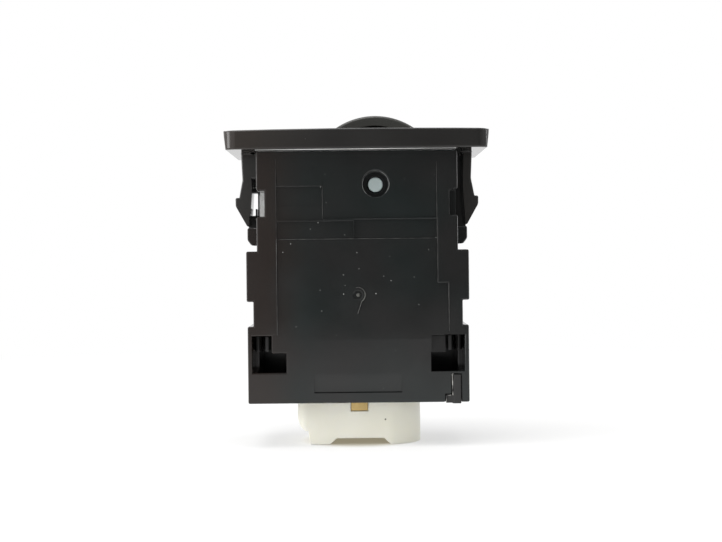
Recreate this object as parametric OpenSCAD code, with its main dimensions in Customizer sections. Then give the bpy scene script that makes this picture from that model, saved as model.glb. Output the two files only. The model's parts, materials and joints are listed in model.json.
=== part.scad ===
// Thumbwheel switch for a dashboard: a knurled wheel in a clip-in bezel, over a
// two-part housing that stands on a white plug socket. Millimetres, +Z towards the driver.
// The origin is on the table, under the middle of the bezel. The broad side with the axle's
// end faces -Y.

/* [Panel cut-out] */
// Length of the dashboard's cut-out, along X
cutout_w = 34.3; // [33:0.1:37]
// Width of the dashboard's cut-out, along Y
cutout_d = 18; // [17.4:0.1:20]

/* [Bezel] */
// How far the bezel covers the panel beyond each end of the cut-out
bezel_overlap = 1.85; // [1.6:0.05:3]
// How far the bezel covers the panel beyond each long side of the cut-out
bezel_side_overlap = 2; // [1.2:0.1:3]
// Thickness of the bezel plate at its ends
bezel_t = 2.7; // [2.5:0.1:3.4]
// Rise of the crowned front face from its ends to its middle
bezel_crown = 0.2; // [0.05:0.05:0.4]
// How far each end of the bezel slopes in towards its underside
bezel_draft = 0.35; // [0:0.05:0.6]
// Radius of the bezel's corners, seen from the front
bezel_corner = 1.8; // [0.6:0.1:2.4]

/* [Snap arms] */
// Thickness of a snap arm at its root
arm_t = 1.3; // [1:0.05:1.5]
// Width of a snap arm, along Y
arm_w = 5; // [4:0.1:5.4]
// Room between an arm and the housing, in which the arm bends
arm_gap = 1.35; // [1.2:0.05:1.8]
// From the bezel's underside down to the ledge that holds the panel
ledge_drop = 6.5; // [5.5:0.1:7]
// From the ledge down to the arm's tip
arm_tail = 4.3; // [4:0.1:5]
// How far the barb stands out beyond the cut-out
barb_reach = 0.85; // [0.5:0.05:1.1]

/* [Housing] */
// Thickness of the housing's side, top and bottom walls
wall = 1.3; // [1:0.05:1.5]
// Thickness of the two broad walls
face_wall = 1.4; // [1.2:0.05:1.6]
// Height of the wide block at the bottom
block_h = 11.1; // [10.8:0.1:12]
// Height of the waist above it
waist_h = 3.55; // [3:0.05:4.5]
// Height of the flanged band above the waist
flange_h = 7.25; // [6.5:0.05:8]
// Height of the narrow upper part
upper_h = 14.3; // [13.6:0.1:15]
// How far the flanged band is wider than the upper part, on each side
flange_step = 1.55; // [1.3:0.05:1.9]
// How far the waist is set back from the flanged band
waist_step = 0.95; // [0.6:0.05:1.2]
// Depth of the moulded panels on the near face
panel_depth = 0.3; // [0.1:0.05:0.35]

/* [Thumbwheel] */
// Radius of the wheel over its flanges
wheel_r = 10.2; // [9.7:0.05:10.3]
// Width of the wheel's rim
wheel_w = 10; // [9:0.1:10.2]
// How far the wheel stands proud of the bezel's crown
wheel_proud = 2.3; // [1.5:0.05:2.6]
// Radius of the steel axle
axle_r = 1.1; // [0.9:0.05:1.3]
// Turn from the lowest setting to the highest, degrees
wheel_turn = 84; // [60:1:100]
// Number of grip ribs round the knurled band
grip_ribs = 64; // [40:1:72]

/* [Socket] */
// Outer length of the white socket, along X
socket_w = 18.15; // [17.5:0.05:18.4]
// Outer depth of the white socket, along Y
socket_d = 11.2; // [11:0.1:12]
// How far the socket stands below the housing
socket_drop = 6.4; // [5.5:0.1:7.5]
// Wall of the socket
socket_wall = 0.95; // [0.8:0.05:1.1]
// Distance between neighbouring terminals
terminal_pitch = 2.5; // [2.3:0.05:2.55]
// Width of a terminal's blade
terminal_w = 1.5; // [1.2:0.05:1.6]
// Thickness of the terminals' sheet
terminal_t = 0.6; // [0.5:0.05:0.7]

/* [Board and lamp] */
// Thickness of the circuit board
board_t = 1.2; // [1:0.1:1.4]
// Room between the lamp's cup and the wheel, and between the cup and the left wall
lamp_gap = 0.35; // [0.3:0.05:0.6]

/* [Hidden] */

// Number of facets on big, middling and small round shapes
$fn = 64;
mid_fn = 40;
small_fn = 24;

// Small distances that many pieces share
eps = 0.01;
reach = 1;
seat = 0.05;
slack = 0.1;
fit = 0.25;

// Heights, from the table up
case_z0 = socket_drop;
block_top = case_z0 + block_h;
waist_top = block_top + waist_h;
flange_top = waist_top + flange_h;
case_top = flange_top + upper_h;
bezel_z0 = case_top + 0.2;
bezel_z1 = bezel_z0 + bezel_t;
crown_z = bezel_z1 + bezel_crown;

// Half widths, from the cut-out inwards
arm_out = cutout_w / 2 - 0.05;
arm_in = arm_out - arm_t;
upper_hw = arm_in - arm_gap;
flange_hw = upper_hw + flange_step;
waist_hw = flange_hw - waist_step;
block_hw = flange_hw - 0.1;
bezel_hw = cutout_w / 2 + bezel_overlap;
bezel_hd = cutout_d / 2 + bezel_side_overlap;
case_hd = cutout_d / 2 - 0.2;
cavity_hd = case_hd - face_wall;

// The two halves of the housing meet here
split_y = 2.7;

// Wheel and axle
wheel_gap = 0.25;
axle_x = upper_hw - wall - wheel_gap - wheel_r;
axle_z = crown_z + wheel_proud - wheel_r;
wheel_hw = wheel_w / 2;
rim_in = wheel_r - 1.5;
hub_r = axle_r + 1.5;
hub_hw = wheel_hw + 0.1;
web_y = wheel_hw - 2.6;
web_t = 1.2;
flange_lip = 0.7;
lip_chamfer = 0.25;
band_y = 0.6;
band_r = wheel_r - 0.3;
grip_root = wheel_r - 0.6;
grip_tip = wheel_r - 0.12;
slot_gap = 0.35;

// Stops inside the wheel: a finger on the housing between two ribs of the wheel
finger_w = 2;
finger_in = hub_r + 2.4;
finger_out = rim_in - 0.8;
stop_rib_t = 1;
stake_r = hub_r + 1.5;
stop_angle = asin((finger_w / 2 + stop_rib_t / 2 + 0.12) / finger_in);

// Round bosses that hold the axle, and the counterbore in which its end shows
boss_r = axle_r + 1.6;
boss_gap = 0.2;
pit_r = 1.9;
pit_depth = 2.2;
axle_y0 = pit_depth - case_hd - 0.4;
axle_y1 = case_hd - 0.7;

// Left notch, which lets light through beside the leg of the light guide
notch_z0 = flange_top + 5;
notch_z1 = notch_z0 + 3.7;
notch_depth = 1.15;
left_wall = notch_depth + 1.2;

// Window of the bezel, with the lens and the guide below it
lens_x0 = -(arm_in - 0.95);
lens_x1 = axle_x - sqrt(pow(wheel_r + slot_gap, 2) - pow(axle_z - bezel_z0, 2)) - 1.9;
lens_hd = 3.6;
lens_lip = 0.55;
lens_lip_t = 0.95;
guide_leg_t = 0.95;
guide_leg_hd = 1.6;
guide_head_hd = 2.6;
guide_head_t = 1.05;
guide_x0 = -(upper_hw - seat);
guide_x1 = guide_x0 + guide_leg_t;

// Two walls under the bezel that plug into the open top of the housing
collar_y0 = wheel_hw + slot_gap;
collar_y1 = collar_y0 + 0.85;
collar_x0 = axle_x - 8.4;
collar_x1 = axle_x + 8.6;
collar_z0 = case_top - wall - 0.7;
collar_nose_x = 5;
collar_nose_hw = 1.2;
collar_nose = 0.4;
opening_hd = collar_y1 + slack;

// Guard ribs of the rear half, one behind each snap arm
guard_y0 = arm_w / 2 + 0.5;
guard_y1 = guard_y0 + 2.5;
guard_hw = arm_out - 0.55;
guard_z0 = flange_top + 0.9;
lug_hw = guard_hw - 0.25;
lug_z1 = bezel_z0 - ledge_drop - arm_tail - 0.2;

// Steps, pockets and windows of the near face
panel_x0 = -11.65;
panel_x1 = 11.5;
panel_x2 = 13.1;
panel_z0 = block_top - 2;
panel_jog_z = waist_top + 2.5;
panel_z1 = case_top - 0.6;
pocket_z0 = flange_top + 1.7;
pocket_z1 = pocket_z0 + 2.8;
pocket_z2 = pocket_z1 + 1.95;
pocket_z3 = pocket_z2 + 2.9;
pocket_x2 = -4.95;
pocket_x3 = -0.5;
plate_x0 = -6.4;
plate_x1 = 6.2;
plate_z0 = case_z0 + 1.45;
plate_z1 = plate_z0 + 2.85;
gate_z = waist_top + 0.85;
window_x0 = 10.4;
window_x1 = 12.5;
window_x2 = block_hw - 0.65;
window_z0 = case_z0 + 4.4;
window_z1 = window_z0 + 2.8;
window_z2 = window_z1 + 2.5;
window_depth = 5.8;
ramp_depth = 0.5;

// Hooks of the rear half behind the windows, and its finger at lower right
hook_x0 = window_x1 + 0.42;
hook_x1 = block_hw - wall - 0.15;
hook_x2 = window_x2 - 0.15;
hook_prong = 0.65;
finger_x0 = 13.3;
finger_x1 = 14.82;
finger_round = 0.42;
finger_top = case_z0 + 4.1;

// Socket, and the flange that the housing traps
socket_x = (plate_x0 + plate_x1) / 2 + 0.15;
socket_x0 = socket_x - socket_w / 2;
socket_x1 = socket_x + socket_w / 2;
socket_hd = socket_d / 2;
socket_round = socket_hd - 0.4;
socket_left = socket_x0 + 2.65;
socket_floor = case_z0 + 2;
flange_z0 = case_z0 + wall + seat;
flange_z1 = socket_floor + 1.6;
flange_side = 1.4;
key_x = socket_x + 0.1;
key_w = 8.9;
key_h = 0.9;
key_slope = 1;
step_w = 1.6;
step_z0 = 1.95;
step_z1 = 4.4;

// Terminals
blade_y = 0.3;
blade_z = 1.6;
bend_z = flange_z1 + 2.2;
pin_w = 0.8;
tab_w = 2.4;
tab_t = 0.4;
tab_z = 4.95;

// Board, on the rear side of the wheel
board_y0 = wheel_hw + 0.6;
board_y1 = board_y0 + board_t;
board_z0 = flange_z1 + seat;
board_z1 = collar_z0 - 0.5;
board_hw = upper_hw - wall - 1.6;
board_low_hw = window_x0 - 0.5;
board_low_z = window_z2 + 1.6;
pin_y1 = board_y1 + 0.4;
peg_x = 8;
peg_z = block_top + 1.6;
chip_size = [3.2, 0.6, 1.6];
chip_x = 1;
chip_z = [block_top + 1.3, block_top + 5.1];

// Lamp, left of the wheel and under the lens
lamp_x = (axle_x - wheel_r - upper_hw + left_wall) / 2;
lamp_room = axle_x - wheel_r + upper_hw - left_wall;
lamp_foot_z = flange_top - 3.8;
lamp_cup_z = lamp_foot_z + 2;
lamp_cup_h = 4;
lamp_cup_r = lamp_room / 2 - lamp_gap;
bulb_r = lamp_cup_r - 0.45;
lamp_top = axle_z + 0.4;
lead_r = 0.25;
lead_x = lamp_cup_r / 2;
lead_z = lamp_foot_z - 2;

// Leaf spring that brakes the wheel
leaf_x = axle_x - 6.2;
leaf_w = 3;
leaf_t = 0.3;
leaf_z0 = case_z0 + 4.6;
leaf_y = -cavity_hd + 0.65;
touch_y = -wheel_hw - 0.05 - leaf_t / 2;
touch_z = axle_z - sqrt(pow((rim_in + wheel_r) / 2, 2) - pow(axle_x - leaf_x, 2));

function mirrored(points) =
    concat(points, [for (i = [len(points) - 1:-1:0]) [-points[i][0], points[i][1]]]);

// Outline of the housing from the front, moved inwards by i
function case_outline(i) = mirrored([
    [block_hw - i, case_z0 + i],
    [block_hw - i, block_top - i],
    [waist_hw - i, block_top - i],
    [waist_hw - i, waist_top + i],
    [flange_hw - i, waist_top + i],
    [flange_hw - i, flange_top - i],
    [upper_hw - i, flange_top - i],
    [upper_hw - i, case_top - i]
]);

// A bent strip of sheet, as the outline of a line of thickness t along a path
function bend(path, i) =
    let (a = path[max(i - 1, 0)], b = path[min(i + 1, len(path) - 1)], d = b - a)
    [-d[1], d[0]] / norm(d);
function strip(path, t) = concat(
    [for (i = [0:len(path) - 1]) path[i] + bend(path, i) * t / 2],
    [for (i = [len(path) - 1:-1:0]) path[i] - bend(path, i) * t / 2]
);

module box(low, high) {
    translate(low) cube(high - low);
}

// Draws an X-Z outline from y0 to y1
module along_y(y0, y1) {
    translate([0, y1, 0]) rotate([90, 0, 0]) linear_extrude(y1 - y0) children();
}

// Draws a Y-Z outline from x0 to x1
module along_x(x0, x1) {
    translate([x0, 0, 0]) rotate([90, 0, 90]) linear_extrude(x1 - x0) children();
}

// A round bar along Y
module rod_y(r, y0, y1, x, z) {
    translate([x, y0, z]) rotate([-90, 0, 0]) cylinder(r = r, h = y1 - y0);
}

// A rectangle from x0 to x1 and -hy to hy, with its own corner radius at each end
module end_rounded(x0, x1, hy, r0, r1) {
    translate([x0 + r0, -hy]) square([x1 - x0 - r0 - r1, 2 * hy]);
    translate([x0, r0 - hy]) square([r0 + eps, 2 * (hy - r0)]);
    translate([x1 - r1 - eps, r1 - hy]) square([r1 + eps, 2 * (hy - r1)]);
    for (s = [-1, 1]) {
        translate([x0 + r0, s * (hy - r0)]) circle(r = r0);
        translate([x1 - r1, s * (hy - r1)]) circle(r = r1);
    }
}

// The right-hand snap arm from the front: root, barb and tapered tail
function arm_outline() =
    let (ledge = bezel_z0 - ledge_drop, tip = ledge - arm_tail)
    [
        [arm_out, bezel_z0 + reach],
        [arm_out, bezel_z0 - 0.6],
        [arm_out - 0.15, ledge + 2.6],
        [arm_out + 0.35, ledge],
        [cutout_w / 2 + barb_reach + 0.02, ledge],
        [cutout_w / 2 + barb_reach, ledge - 1.2],
        [arm_out - 0.75, tip + 0.15],
        [arm_out - 0.95, tip],
        [arm_in + 0.2, tip + 0.35],
        [arm_in + 0.15, ledge - 2.4],
        [arm_in - 0.1, ledge + 1.4],
        [arm_in, bezel_z0 - 1],
        [arm_in, bezel_z0 + reach]
    ];

// Crowned plate from the front
function plate_outline() = concat(
    [[-bezel_hw + bezel_draft, bezel_z0], [bezel_hw - bezel_draft, bezel_z0]],
    [for (i = [11:-1:-11]) [bezel_hw * i / 11, bezel_z1 + bezel_crown * (1 - pow(i / 11, 2))]]
);

module bezel_plate() {
    intersection() {
        along_y(-bezel_hd, bezel_hd) polygon(plate_outline());
        translate([0, 0, bezel_z0 - reach])
            linear_extrude(bezel_t + bezel_crown + 2 * reach)
                end_rounded(-bezel_hw, bezel_hw, bezel_hd, bezel_corner, bezel_corner);
    }
}

// One long wall under the bezel, with two hook noses and a relief over the boss
module collar_wall() {
    difference() {
        box([collar_x0, collar_y0, collar_z0], [collar_x1, collar_y1, bezel_z0 + eps]);
        rod_y(boss_r + slack, collar_y0 - reach, collar_y1 + reach, axle_x, axle_z);
    }
    for (s = [-1, 1])
        along_x(axle_x + s * collar_nose_x - collar_nose_hw,
                axle_x + s * collar_nose_x + collar_nose_hw)
            polygon([
                [collar_y1 - eps, collar_z0],
                [collar_y1, collar_z0],
                [collar_y1 + collar_nose, collar_z0 + 0.4],
                [collar_y1 + collar_nose, case_top - wall - slack],
                [collar_y1 - eps, case_top - wall - slack]
            ]);
}

module bezel() {
    color([0.19, 0.18, 0.17]) {
        difference() {
            bezel_plate();
            rod_y(wheel_r + slot_gap, -wheel_hw - slot_gap, wheel_hw + slot_gap, axle_x, axle_z);
            box([lens_x0 - seat, -lens_hd - seat, bezel_z0 - reach],
                [lens_x1 + seat, lens_hd + seat, crown_z + reach]);
            box([lens_x0 - lens_lip - seat, -lens_hd - lens_lip - seat, bezel_z0 - reach],
                [lens_x1 + lens_lip + seat, lens_hd + lens_lip + seat,
                    bezel_z0 + 0.2 + lens_lip_t + seat]);
        }
        for (s = [0, 1]) {
            mirror([s, 0, 0]) along_y(-arm_w / 2, arm_w / 2) polygon(arm_outline());
            mirror([0, s, 0]) collar_wall();
        }
        // Thick root of the left arm, beside the light guide, and the thicker arm below it
        box([-arm_in - eps, -arm_w / 2, bezel_z0 - 3.7],
            [-upper_hw - fit, arm_w / 2, bezel_z0 + eps]);
        along_y(-arm_w / 2, arm_w / 2)
            polygon([
                [-arm_in - 0.3, bezel_z0 - 3.7 + eps],
                [-arm_in + 0.2, bezel_z0 - 3.7 + eps],
                [-arm_in + 0.28, bezel_z0 - ledge_drop + 1.4],
                [-arm_in + 0.03, bezel_z0 - ledge_drop - 2.4],
                [-arm_in - 0.3, bezel_z0 - ledge_drop - 3.3]
            ]);
    }
}

module symbol_lens() {
    color([0.85, 0.86, 0.84]) {
        box([lens_x0 - lens_lip, -lens_hd - lens_lip, bezel_z0 + 0.2],
            [lens_x1 + lens_lip, lens_hd + lens_lip, bezel_z0 + 0.2 + lens_lip_t]);
        box([lens_x0, -lens_hd, bezel_z0 + 0.2], [lens_x1, lens_hd, bezel_z1 + seat]);
    }
}

// Clear guide: a head under the lens, a leg in the groove of the left wall, and a thin plate
// whose edge shows as a bright line between bezel and housing
module light_guide() {
    head_z1 = bezel_z0 + 0.2 - seat;
    head_z0 = head_z1 - guide_head_t;
    color([0.9, 0.93, 0.92, 0.6]) {
        box([guide_x0, -guide_head_hd, head_z0], [lens_x1, guide_head_hd, head_z1]);
        box([guide_x0, -guide_leg_hd, notch_z0 + 0.1], [guide_x1, guide_leg_hd, head_z0 + eps]);
        translate([0, 0, case_top + 0.02])
            linear_extrude(bezel_z0 - case_top - 0.04)
                difference() {
                    square([2 * (upper_hw - fit), 2 * (case_hd - 0.2)], center = true);
                    translate([lens_x1 - fit, -collar_y1 - collar_nose - 0.15])
                        square([upper_hw * 2, 2 * (collar_y1 + collar_nose + 0.15)]);
                }
    }
}

// Half section of the rim, as radius and place along the axle
function rim_section() = [
    [rim_in, -wheel_hw],
    [wheel_r - lip_chamfer, -wheel_hw],
    [wheel_r, -wheel_hw + lip_chamfer],
    [wheel_r, -wheel_hw + flange_lip],
    [grip_root, -wheel_hw + flange_lip],
    [grip_root, band_y],
    [band_r, band_y],
    [band_r, wheel_hw - flange_lip],
    [wheel_r, wheel_hw - flange_lip],
    [wheel_r, wheel_hw - lip_chamfer],
    [wheel_r - lip_chamfer, wheel_hw],
    [rim_in, wheel_hw]
];

// Grip ribs as one toothed outline
function grip_outline() = [
    for (i = [0:grip_ribs - 1], k = [[-0.32, 0], [-0.14, 1], [0.14, 1], [0.32, 0]])
        let (a = (i + k[0]) * 360 / grip_ribs, r = grip_root - eps + k[1] * (grip_tip - grip_root))
        [r * cos(a), r * sin(a)]
];

// Places what is drawn round Z onto the axle, with its +Y side downwards on the part
module on_axle() {
    translate([axle_x, 0, axle_z]) rotate([-90, 0, 0]) children();
}

module stop_rib(angle) {
    rotate([0, 0, 90 - angle])
        translate([hub_r - 0.3, -stop_rib_t / 2, -wheel_hw + 0.4])
            cube([rim_in - hub_r + 0.6, stop_rib_t, web_y + wheel_hw - 0.3]);
}

module thumbwheel() {
    color([0.16, 0.16, 0.17])
        on_axle() {
            difference() {
                union() {
                    rotate_extrude() polygon(rim_section());
                    translate([0, 0, -wheel_hw + flange_lip - eps])
                        linear_extrude(band_y + wheel_hw - flange_lip + 2 * eps)
                            difference() {
                                polygon(grip_outline());
                                circle(r = rim_in + 0.4);
                            }
                    translate([0, 0, web_y]) cylinder(r = rim_in + 0.2, h = web_t);
                    translate([0, 0, -hub_hw]) cylinder(r = hub_r, h = 2 * hub_hw);
                    stop_rib(-stop_angle);
                    stop_rib(wheel_turn + stop_angle);
                }
                translate([0, 0, -hub_hw - reach])
                    cylinder(r = axle_r + seat, h = 2 * (hub_hw + reach));
            }
            for (s = [-1, 1])
                translate([s * stake_r, 0, web_y + web_t - eps]) cylinder(r = 0.5, h = 0.6);
        }
}

// Spring contact on the wheel's rear side: a ring, a tab and two fingers
module wiper_contact() {
    $fn = mid_fn;
    back = web_y + web_t;
    sheet = 0.25;
    tab = rim_in - 0.5;
    finger_t = 0.2;
    color([0.72, 0.6, 0.36])
        on_axle() {
            difference() {
                union() {
                    translate([0, 0, back]) cylinder(r = stake_r + 1.1, h = sheet);
                    translate([-1.2, 0, back]) cube([2, tab, sheet]);
                }
                translate([0, 0, back - reach]) cylinder(r = hub_r + 0.2, h = 2 * reach);
                for (s = [-1, 1])
                    translate([s * stake_r, 0, back - reach]) cylinder(r = 0.55, h = 2 * reach);
            }
            for (r = [tab - 2, tab - 0.7])
                translate([0, r + 0.35, 0]) rotate([90, 0, 0])
                    linear_extrude(0.7)
                        polygon(strip([
                            [0.3, back + sheet / 2],
                            [1.1, back + sheet / 2],
                            [3.6, board_y0 - 0.35],
                            [4, board_y0 - seat - finger_t / 2],
                            [4.4, board_y0 - 0.4]
                        ], finger_t));
        }
}

module axle_pin() {
    bevel = 0.06;
    color([0.66, 0.72, 0.72]) {
        rod_y(axle_r, axle_y0 + bevel, axle_y1, axle_x, axle_z);
        translate([axle_x, axle_y0, axle_z]) rotate([-90, 0, 0])
            cylinder(r1 = axle_r - bevel, r2 = axle_r, h = bevel);
    }
}

// Leaf that leans on the wheel's near flank
module friction_spring() {
    $fn = small_fn;
    color([0.62, 0.63, 0.64])
        difference() {
            along_x(leaf_x - leaf_w / 2, leaf_x + leaf_w / 2)
                polygon(strip([
                    [leaf_y, leaf_z0],
                    [leaf_y, leaf_z0 + 6],
                    [touch_y - 0.25, touch_z - 1.2],
                    [touch_y, touch_z],
                    [touch_y - 0.3, touch_z + 1]
                ], leaf_t));
            for (z = [1.2, 4])
                rod_y(0.65, -case_hd, 0, leaf_x, leaf_z0 + z);
        }
}

// Solid and hollow of the housing between two places along Y
module case_walls(y0, y1, hollow0, hollow1) {
    difference() {
        along_y(y0, y1) polygon(case_outline(0));
        intersection() {
            along_y(hollow0, hollow1) polygon(case_outline(wall));
            // The upper part has a thicker wall at the left, beside the light guide
            union() {
                box([-block_hw, -case_hd, 0], [block_hw, case_hd, flange_top - wall]);
                box([-upper_hw + left_wall, -case_hd, 0], [block_hw, case_hd, case_top]);
            }
        }
        case_openings();
    }
}

// What is cut through both halves: the open top, the socket's way out, notch and guide groove
module case_openings() {
    box([-upper_hw + left_wall, -opening_hd, case_top - wall - eps],
        [upper_hw - wall, opening_hd, case_top + reach]);
    translate([0, 0, case_z0 - reach])
        linear_extrude(wall + 2 * reach)
            end_rounded(socket_x0 - slack, socket_x1 + slack, socket_hd + slack,
                1.5 + slack, socket_round + slack);
    box([-upper_hw - reach, -case_hd - reach, notch_z0],
        [-upper_hw + notch_depth, case_hd + reach, notch_z1]);
    box([-upper_hw - reach, -guide_leg_hd - fit, notch_z0],
        [-upper_hw + notch_depth, guide_leg_hd + fit, case_top + reach]);
    box([-upper_hw - reach, -guide_head_hd - fit, case_top - 0.95],
        [-upper_hw + left_wall + eps, guide_head_hd + fit, case_top + reach]);
}

// Boss round the axle from a broad wall inwards
module boss(y0, y1) {
    rod_y(boss_r, y0, y1, axle_x, axle_z);
}

// The panels and pockets that are moulded into the near face
module face_relief() {
    out = -case_hd - reach;
    deep = -case_hd + panel_depth;
    // Long panel with the jog in its right-hand edge, which runs out at its bottom
    along_x(panel_x0, panel_x2)
        polygon([[out, panel_z0], [-case_hd, panel_z0], [deep, block_top + 2.2], [deep, panel_jog_z],
            [out, panel_jog_z]]);
    box([panel_x0, out, panel_jog_z - eps], [panel_x1, deep, pocket_z0 + eps]);
    // Upper panel round the counterbore, which runs out at its top
    along_x(pocket_x2, panel_x1)
        polygon([[out, pocket_z1 + 0.15], [deep, pocket_z1 + 0.15], [-case_hd, panel_z1 - 2],
            [out, panel_z1 - 2]]);
    // Strip along the left step
    along_y(out, deep)
        polygon([[panel_x0, pocket_z3 - eps], [panel_x0 + 0.25, pocket_z3 - eps],
            [panel_x0, panel_z1]]);
    // Bare pockets, two in a row and one above with its own step
    box([panel_x0, out, pocket_z0], [pocket_x3 - 0.08, deep + 0.12, pocket_z1 - 0.2]);
    box([pocket_x3 + 0.08, out, pocket_z0], [panel_x1, deep + 0.12, pocket_z1]);
    box([panel_x0, out, pocket_z1 - 0.05], [pocket_x2, deep, pocket_z3]);
    box([panel_x0, out, pocket_z2], [pocket_x2, deep + 0.12, pocket_z3 - 0.1]);
    // Bare pocket at the bottom, deepest at its lower edge
    along_x(plate_x0, plate_x1)
        polygon([[out, plate_z0], [deep + 0.1, plate_z0], [-case_hd, plate_z1],
            [out, plate_z1]]);
    // Gate mark
    rod_y(0.65, -case_hd - reach, -case_hd + panel_depth + 0.25, 0, gate_z);
}

// L-shaped window at one side of the near face, with the pocket for the hook behind it
module hook_window() {
    box([window_x0, -case_hd - reach, window_z0], [window_x2, -cavity_hd + eps, window_z1]);
    box([window_x1, -case_hd - reach, window_z1 - eps],
        [window_x2, -cavity_hd + eps, window_z2]);
    box([block_hw - wall - 1.4, -cavity_hd - eps, window_z0],
        [window_x2, -case_hd + window_depth, window_z2]);
}

module case_front() {
    color([0.16, 0.16, 0.155]) {
        difference() {
            union() {
                case_walls(-case_hd, split_y, -cavity_hd, split_y + reach);
                boss(-cavity_hd - eps, -hub_hw - boss_gap);
                // Stop finger for the wheel
                box([axle_x - finger_w / 2, -cavity_hd - eps, axle_z - finger_out],
                    [axle_x + finger_w / 2, -wheel_hw + 2.5, axle_z - finger_in]);
                // Seat of the leaf spring, with its two rivet pegs
                box([leaf_x - leaf_w / 2, -cavity_hd - eps, leaf_z0],
                    [leaf_x + leaf_w / 2, leaf_y - leaf_t / 2 - 0.02, leaf_z0 + 5.4]);
                for (z = [1.2, 4])
                    rod_y(0.6, -cavity_hd - eps, leaf_y + leaf_t / 2 + 0.25, leaf_x, leaf_z0 + z,
                        $fn = small_fn);
                // Lugs under the snap arms' tips
                for (s = [0, 1])
                    mirror([s, 0, 0])
                        along_y(-arm_w / 2, arm_w / 2 + 0.2)
                            polygon([
                                [upper_hw - 0.3, guard_z0],
                                [lug_hw - 0.6, guard_z0],
                                [lug_hw, guard_z0 + 0.8],
                                [lug_hw, lug_z1],
                                [upper_hw - 0.3, lug_z1]
                            ]);
            }
            // Counterbore with its bevelled rim, and the hole that holds the axle
            rod_y(pit_r, -case_hd - reach, -case_hd + pit_depth, axle_x, axle_z);
            translate([axle_x, -case_hd - eps, axle_z]) rotate([-90, 0, 0])
                cylinder(r1 = pit_r + 0.22, r2 = pit_r, h = 0.22);
            rod_y(axle_r, -case_hd, 0, axle_x, axle_z);
            face_relief();
            for (s = [0, 1]) mirror([s, 0, 0]) hook_window();
            // Sloped lead-in beside the right window
            translate([window_x0 + 0.1, -case_hd, window_z1 - eps])
                rotate([-atan(ramp_depth / 2.4), 0, 0])
                    translate([0, -2 * reach, 0])
                        cube([window_x1 - window_x0, 2 * reach, 2.4]);
            // Right notch in the near corner
            box([upper_hw - notch_depth, -case_hd - reach, notch_z0],
                [upper_hw + reach, -wheel_hw - 0.6, notch_z1]);
            box([upper_hw - wall - 0.2, -cavity_hd + eps, notch_z0],
                [upper_hw, -wheel_hw - 0.6, notch_z1]);
            // Slot of the lower right finger, and the cut beside it
            box([finger_x0 + 0.04, -case_hd - reach, case_z0 - reach],
                [finger_x1 - 0.05, -case_hd + 0.75, finger_top]);
            box([finger_x0 + 0.15, -case_hd - reach, case_z0 - reach],
                [finger_x1 - 0.07, split_y + reach, case_z0 + 0.65]);
            box([finger_x0 - 0.86, -case_hd - reach, case_z0 - reach],
                [finger_x0 + 0.05, -case_hd + 0.75, case_z0 + 1.15]);
        }
    }
}

// Hook of the rear half: two prongs that show in the window, the outer one with a barb
module hook() {
    z0 = window_z1 + 0.1;
    z1 = window_z2 - 0.1;
    y0 = -case_hd + window_depth - 3.6;
    root = -case_hd + window_depth + 3;
    box([hook_x0, root, z0], [hook_x1, case_hd - eps, z1]);
    box([hook_x0, y0, z0], [hook_x0 + hook_prong, root + eps, z1]);
    translate([0, 0, z0])
        linear_extrude(z1 - z0)
            polygon([
                [hook_x1 - 0.5, root + eps],
                [hook_x1 - 0.5, y0 + 1.4],
                [hook_x1 - 0.1, y0 + 0.5],
                [hook_x2 - 0.2, y0 + 0.5],
                [hook_x2, y0 + 1],
                [hook_x2, y0 + 3.5],
                [hook_x1, y0 + 3.5],
                [hook_x1, root + eps]
            ]);
}

// Upright bar with its left near edge rounded
module rounded_bar(x0, x1, y0, y1, z0, z1, r) {
    translate([0, 0, z0])
        linear_extrude(z1 - z0) {
            translate([x0 + r, y0 + r]) circle(r = r, $fn = small_fn);
            translate([x0 + r, y0]) square([x1 - x0 - r, y1 - y0]);
            translate([x0, y0 + r]) square([r + eps, y1 - y0 - r]);
        }
}

module case_rear() {
    color([0.15, 0.15, 0.15])
        difference() {
            union() {
                case_walls(split_y, case_hd, split_y - reach, cavity_hd);
                boss(hub_hw + boss_gap, cavity_hd + eps);
                // Pegs and collars that carry the board
                for (x = [-peg_x, peg_x]) {
                    rod_y(1, board_y0 - 0.6, cavity_hd + eps, x, peg_z, $fn = small_fn);
                    rod_y(1.8, board_y1 + seat, cavity_hd + eps, x, peg_z, $fn = small_fn);
                }
                for (s = [0, 1]) mirror([s, 0, 0]) {
                    hook();
                    guard_rib();
                }
                // Lower right finger: a tongue under the housing, turned up at the near face
                box([finger_x0 + 0.2, -case_hd + 0.3, case_z0 - 0.2],
                    [finger_x1 - 0.12, case_hd - wall, case_z0 + 0.55]);
                rounded_bar(finger_x0 + 0.1, finger_x1 - 0.12, -case_hd - 0.05, -case_hd + 0.7,
                    case_z0 - 0.2, finger_top - 0.15, finger_round);
                rounded_bar(finger_x0 - 0.8, finger_x0 + 0.55, -case_hd + 0.02, -case_hd + 0.65,
                    case_z0 - 0.1, case_z0 + 1.05, 0.3);
            }
            rod_y(axle_r, 0, axle_y1, axle_x, axle_z);
            // Gap in the left guard rib, with the small tooth that stands in it, and behind a
            // thin web the notch of the wall
            difference() {
                box([-guard_hw - reach, guard_y0 - reach, notch_z0 + 0.5],
                    [-upper_hw - 0.62, case_hd + reach, notch_z1 + 0.2]);
                box([-upper_hw - 1, guard_y0 - reach, notch_z0],
                    [-upper_hw - 0.75, case_hd + reach, notch_z0 + 1.55]);
            }
            box([-upper_hw - 0.37, guard_y0 - reach, notch_z0],
                [-upper_hw + notch_depth, case_hd + reach, notch_z1]);
        }
}

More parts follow.
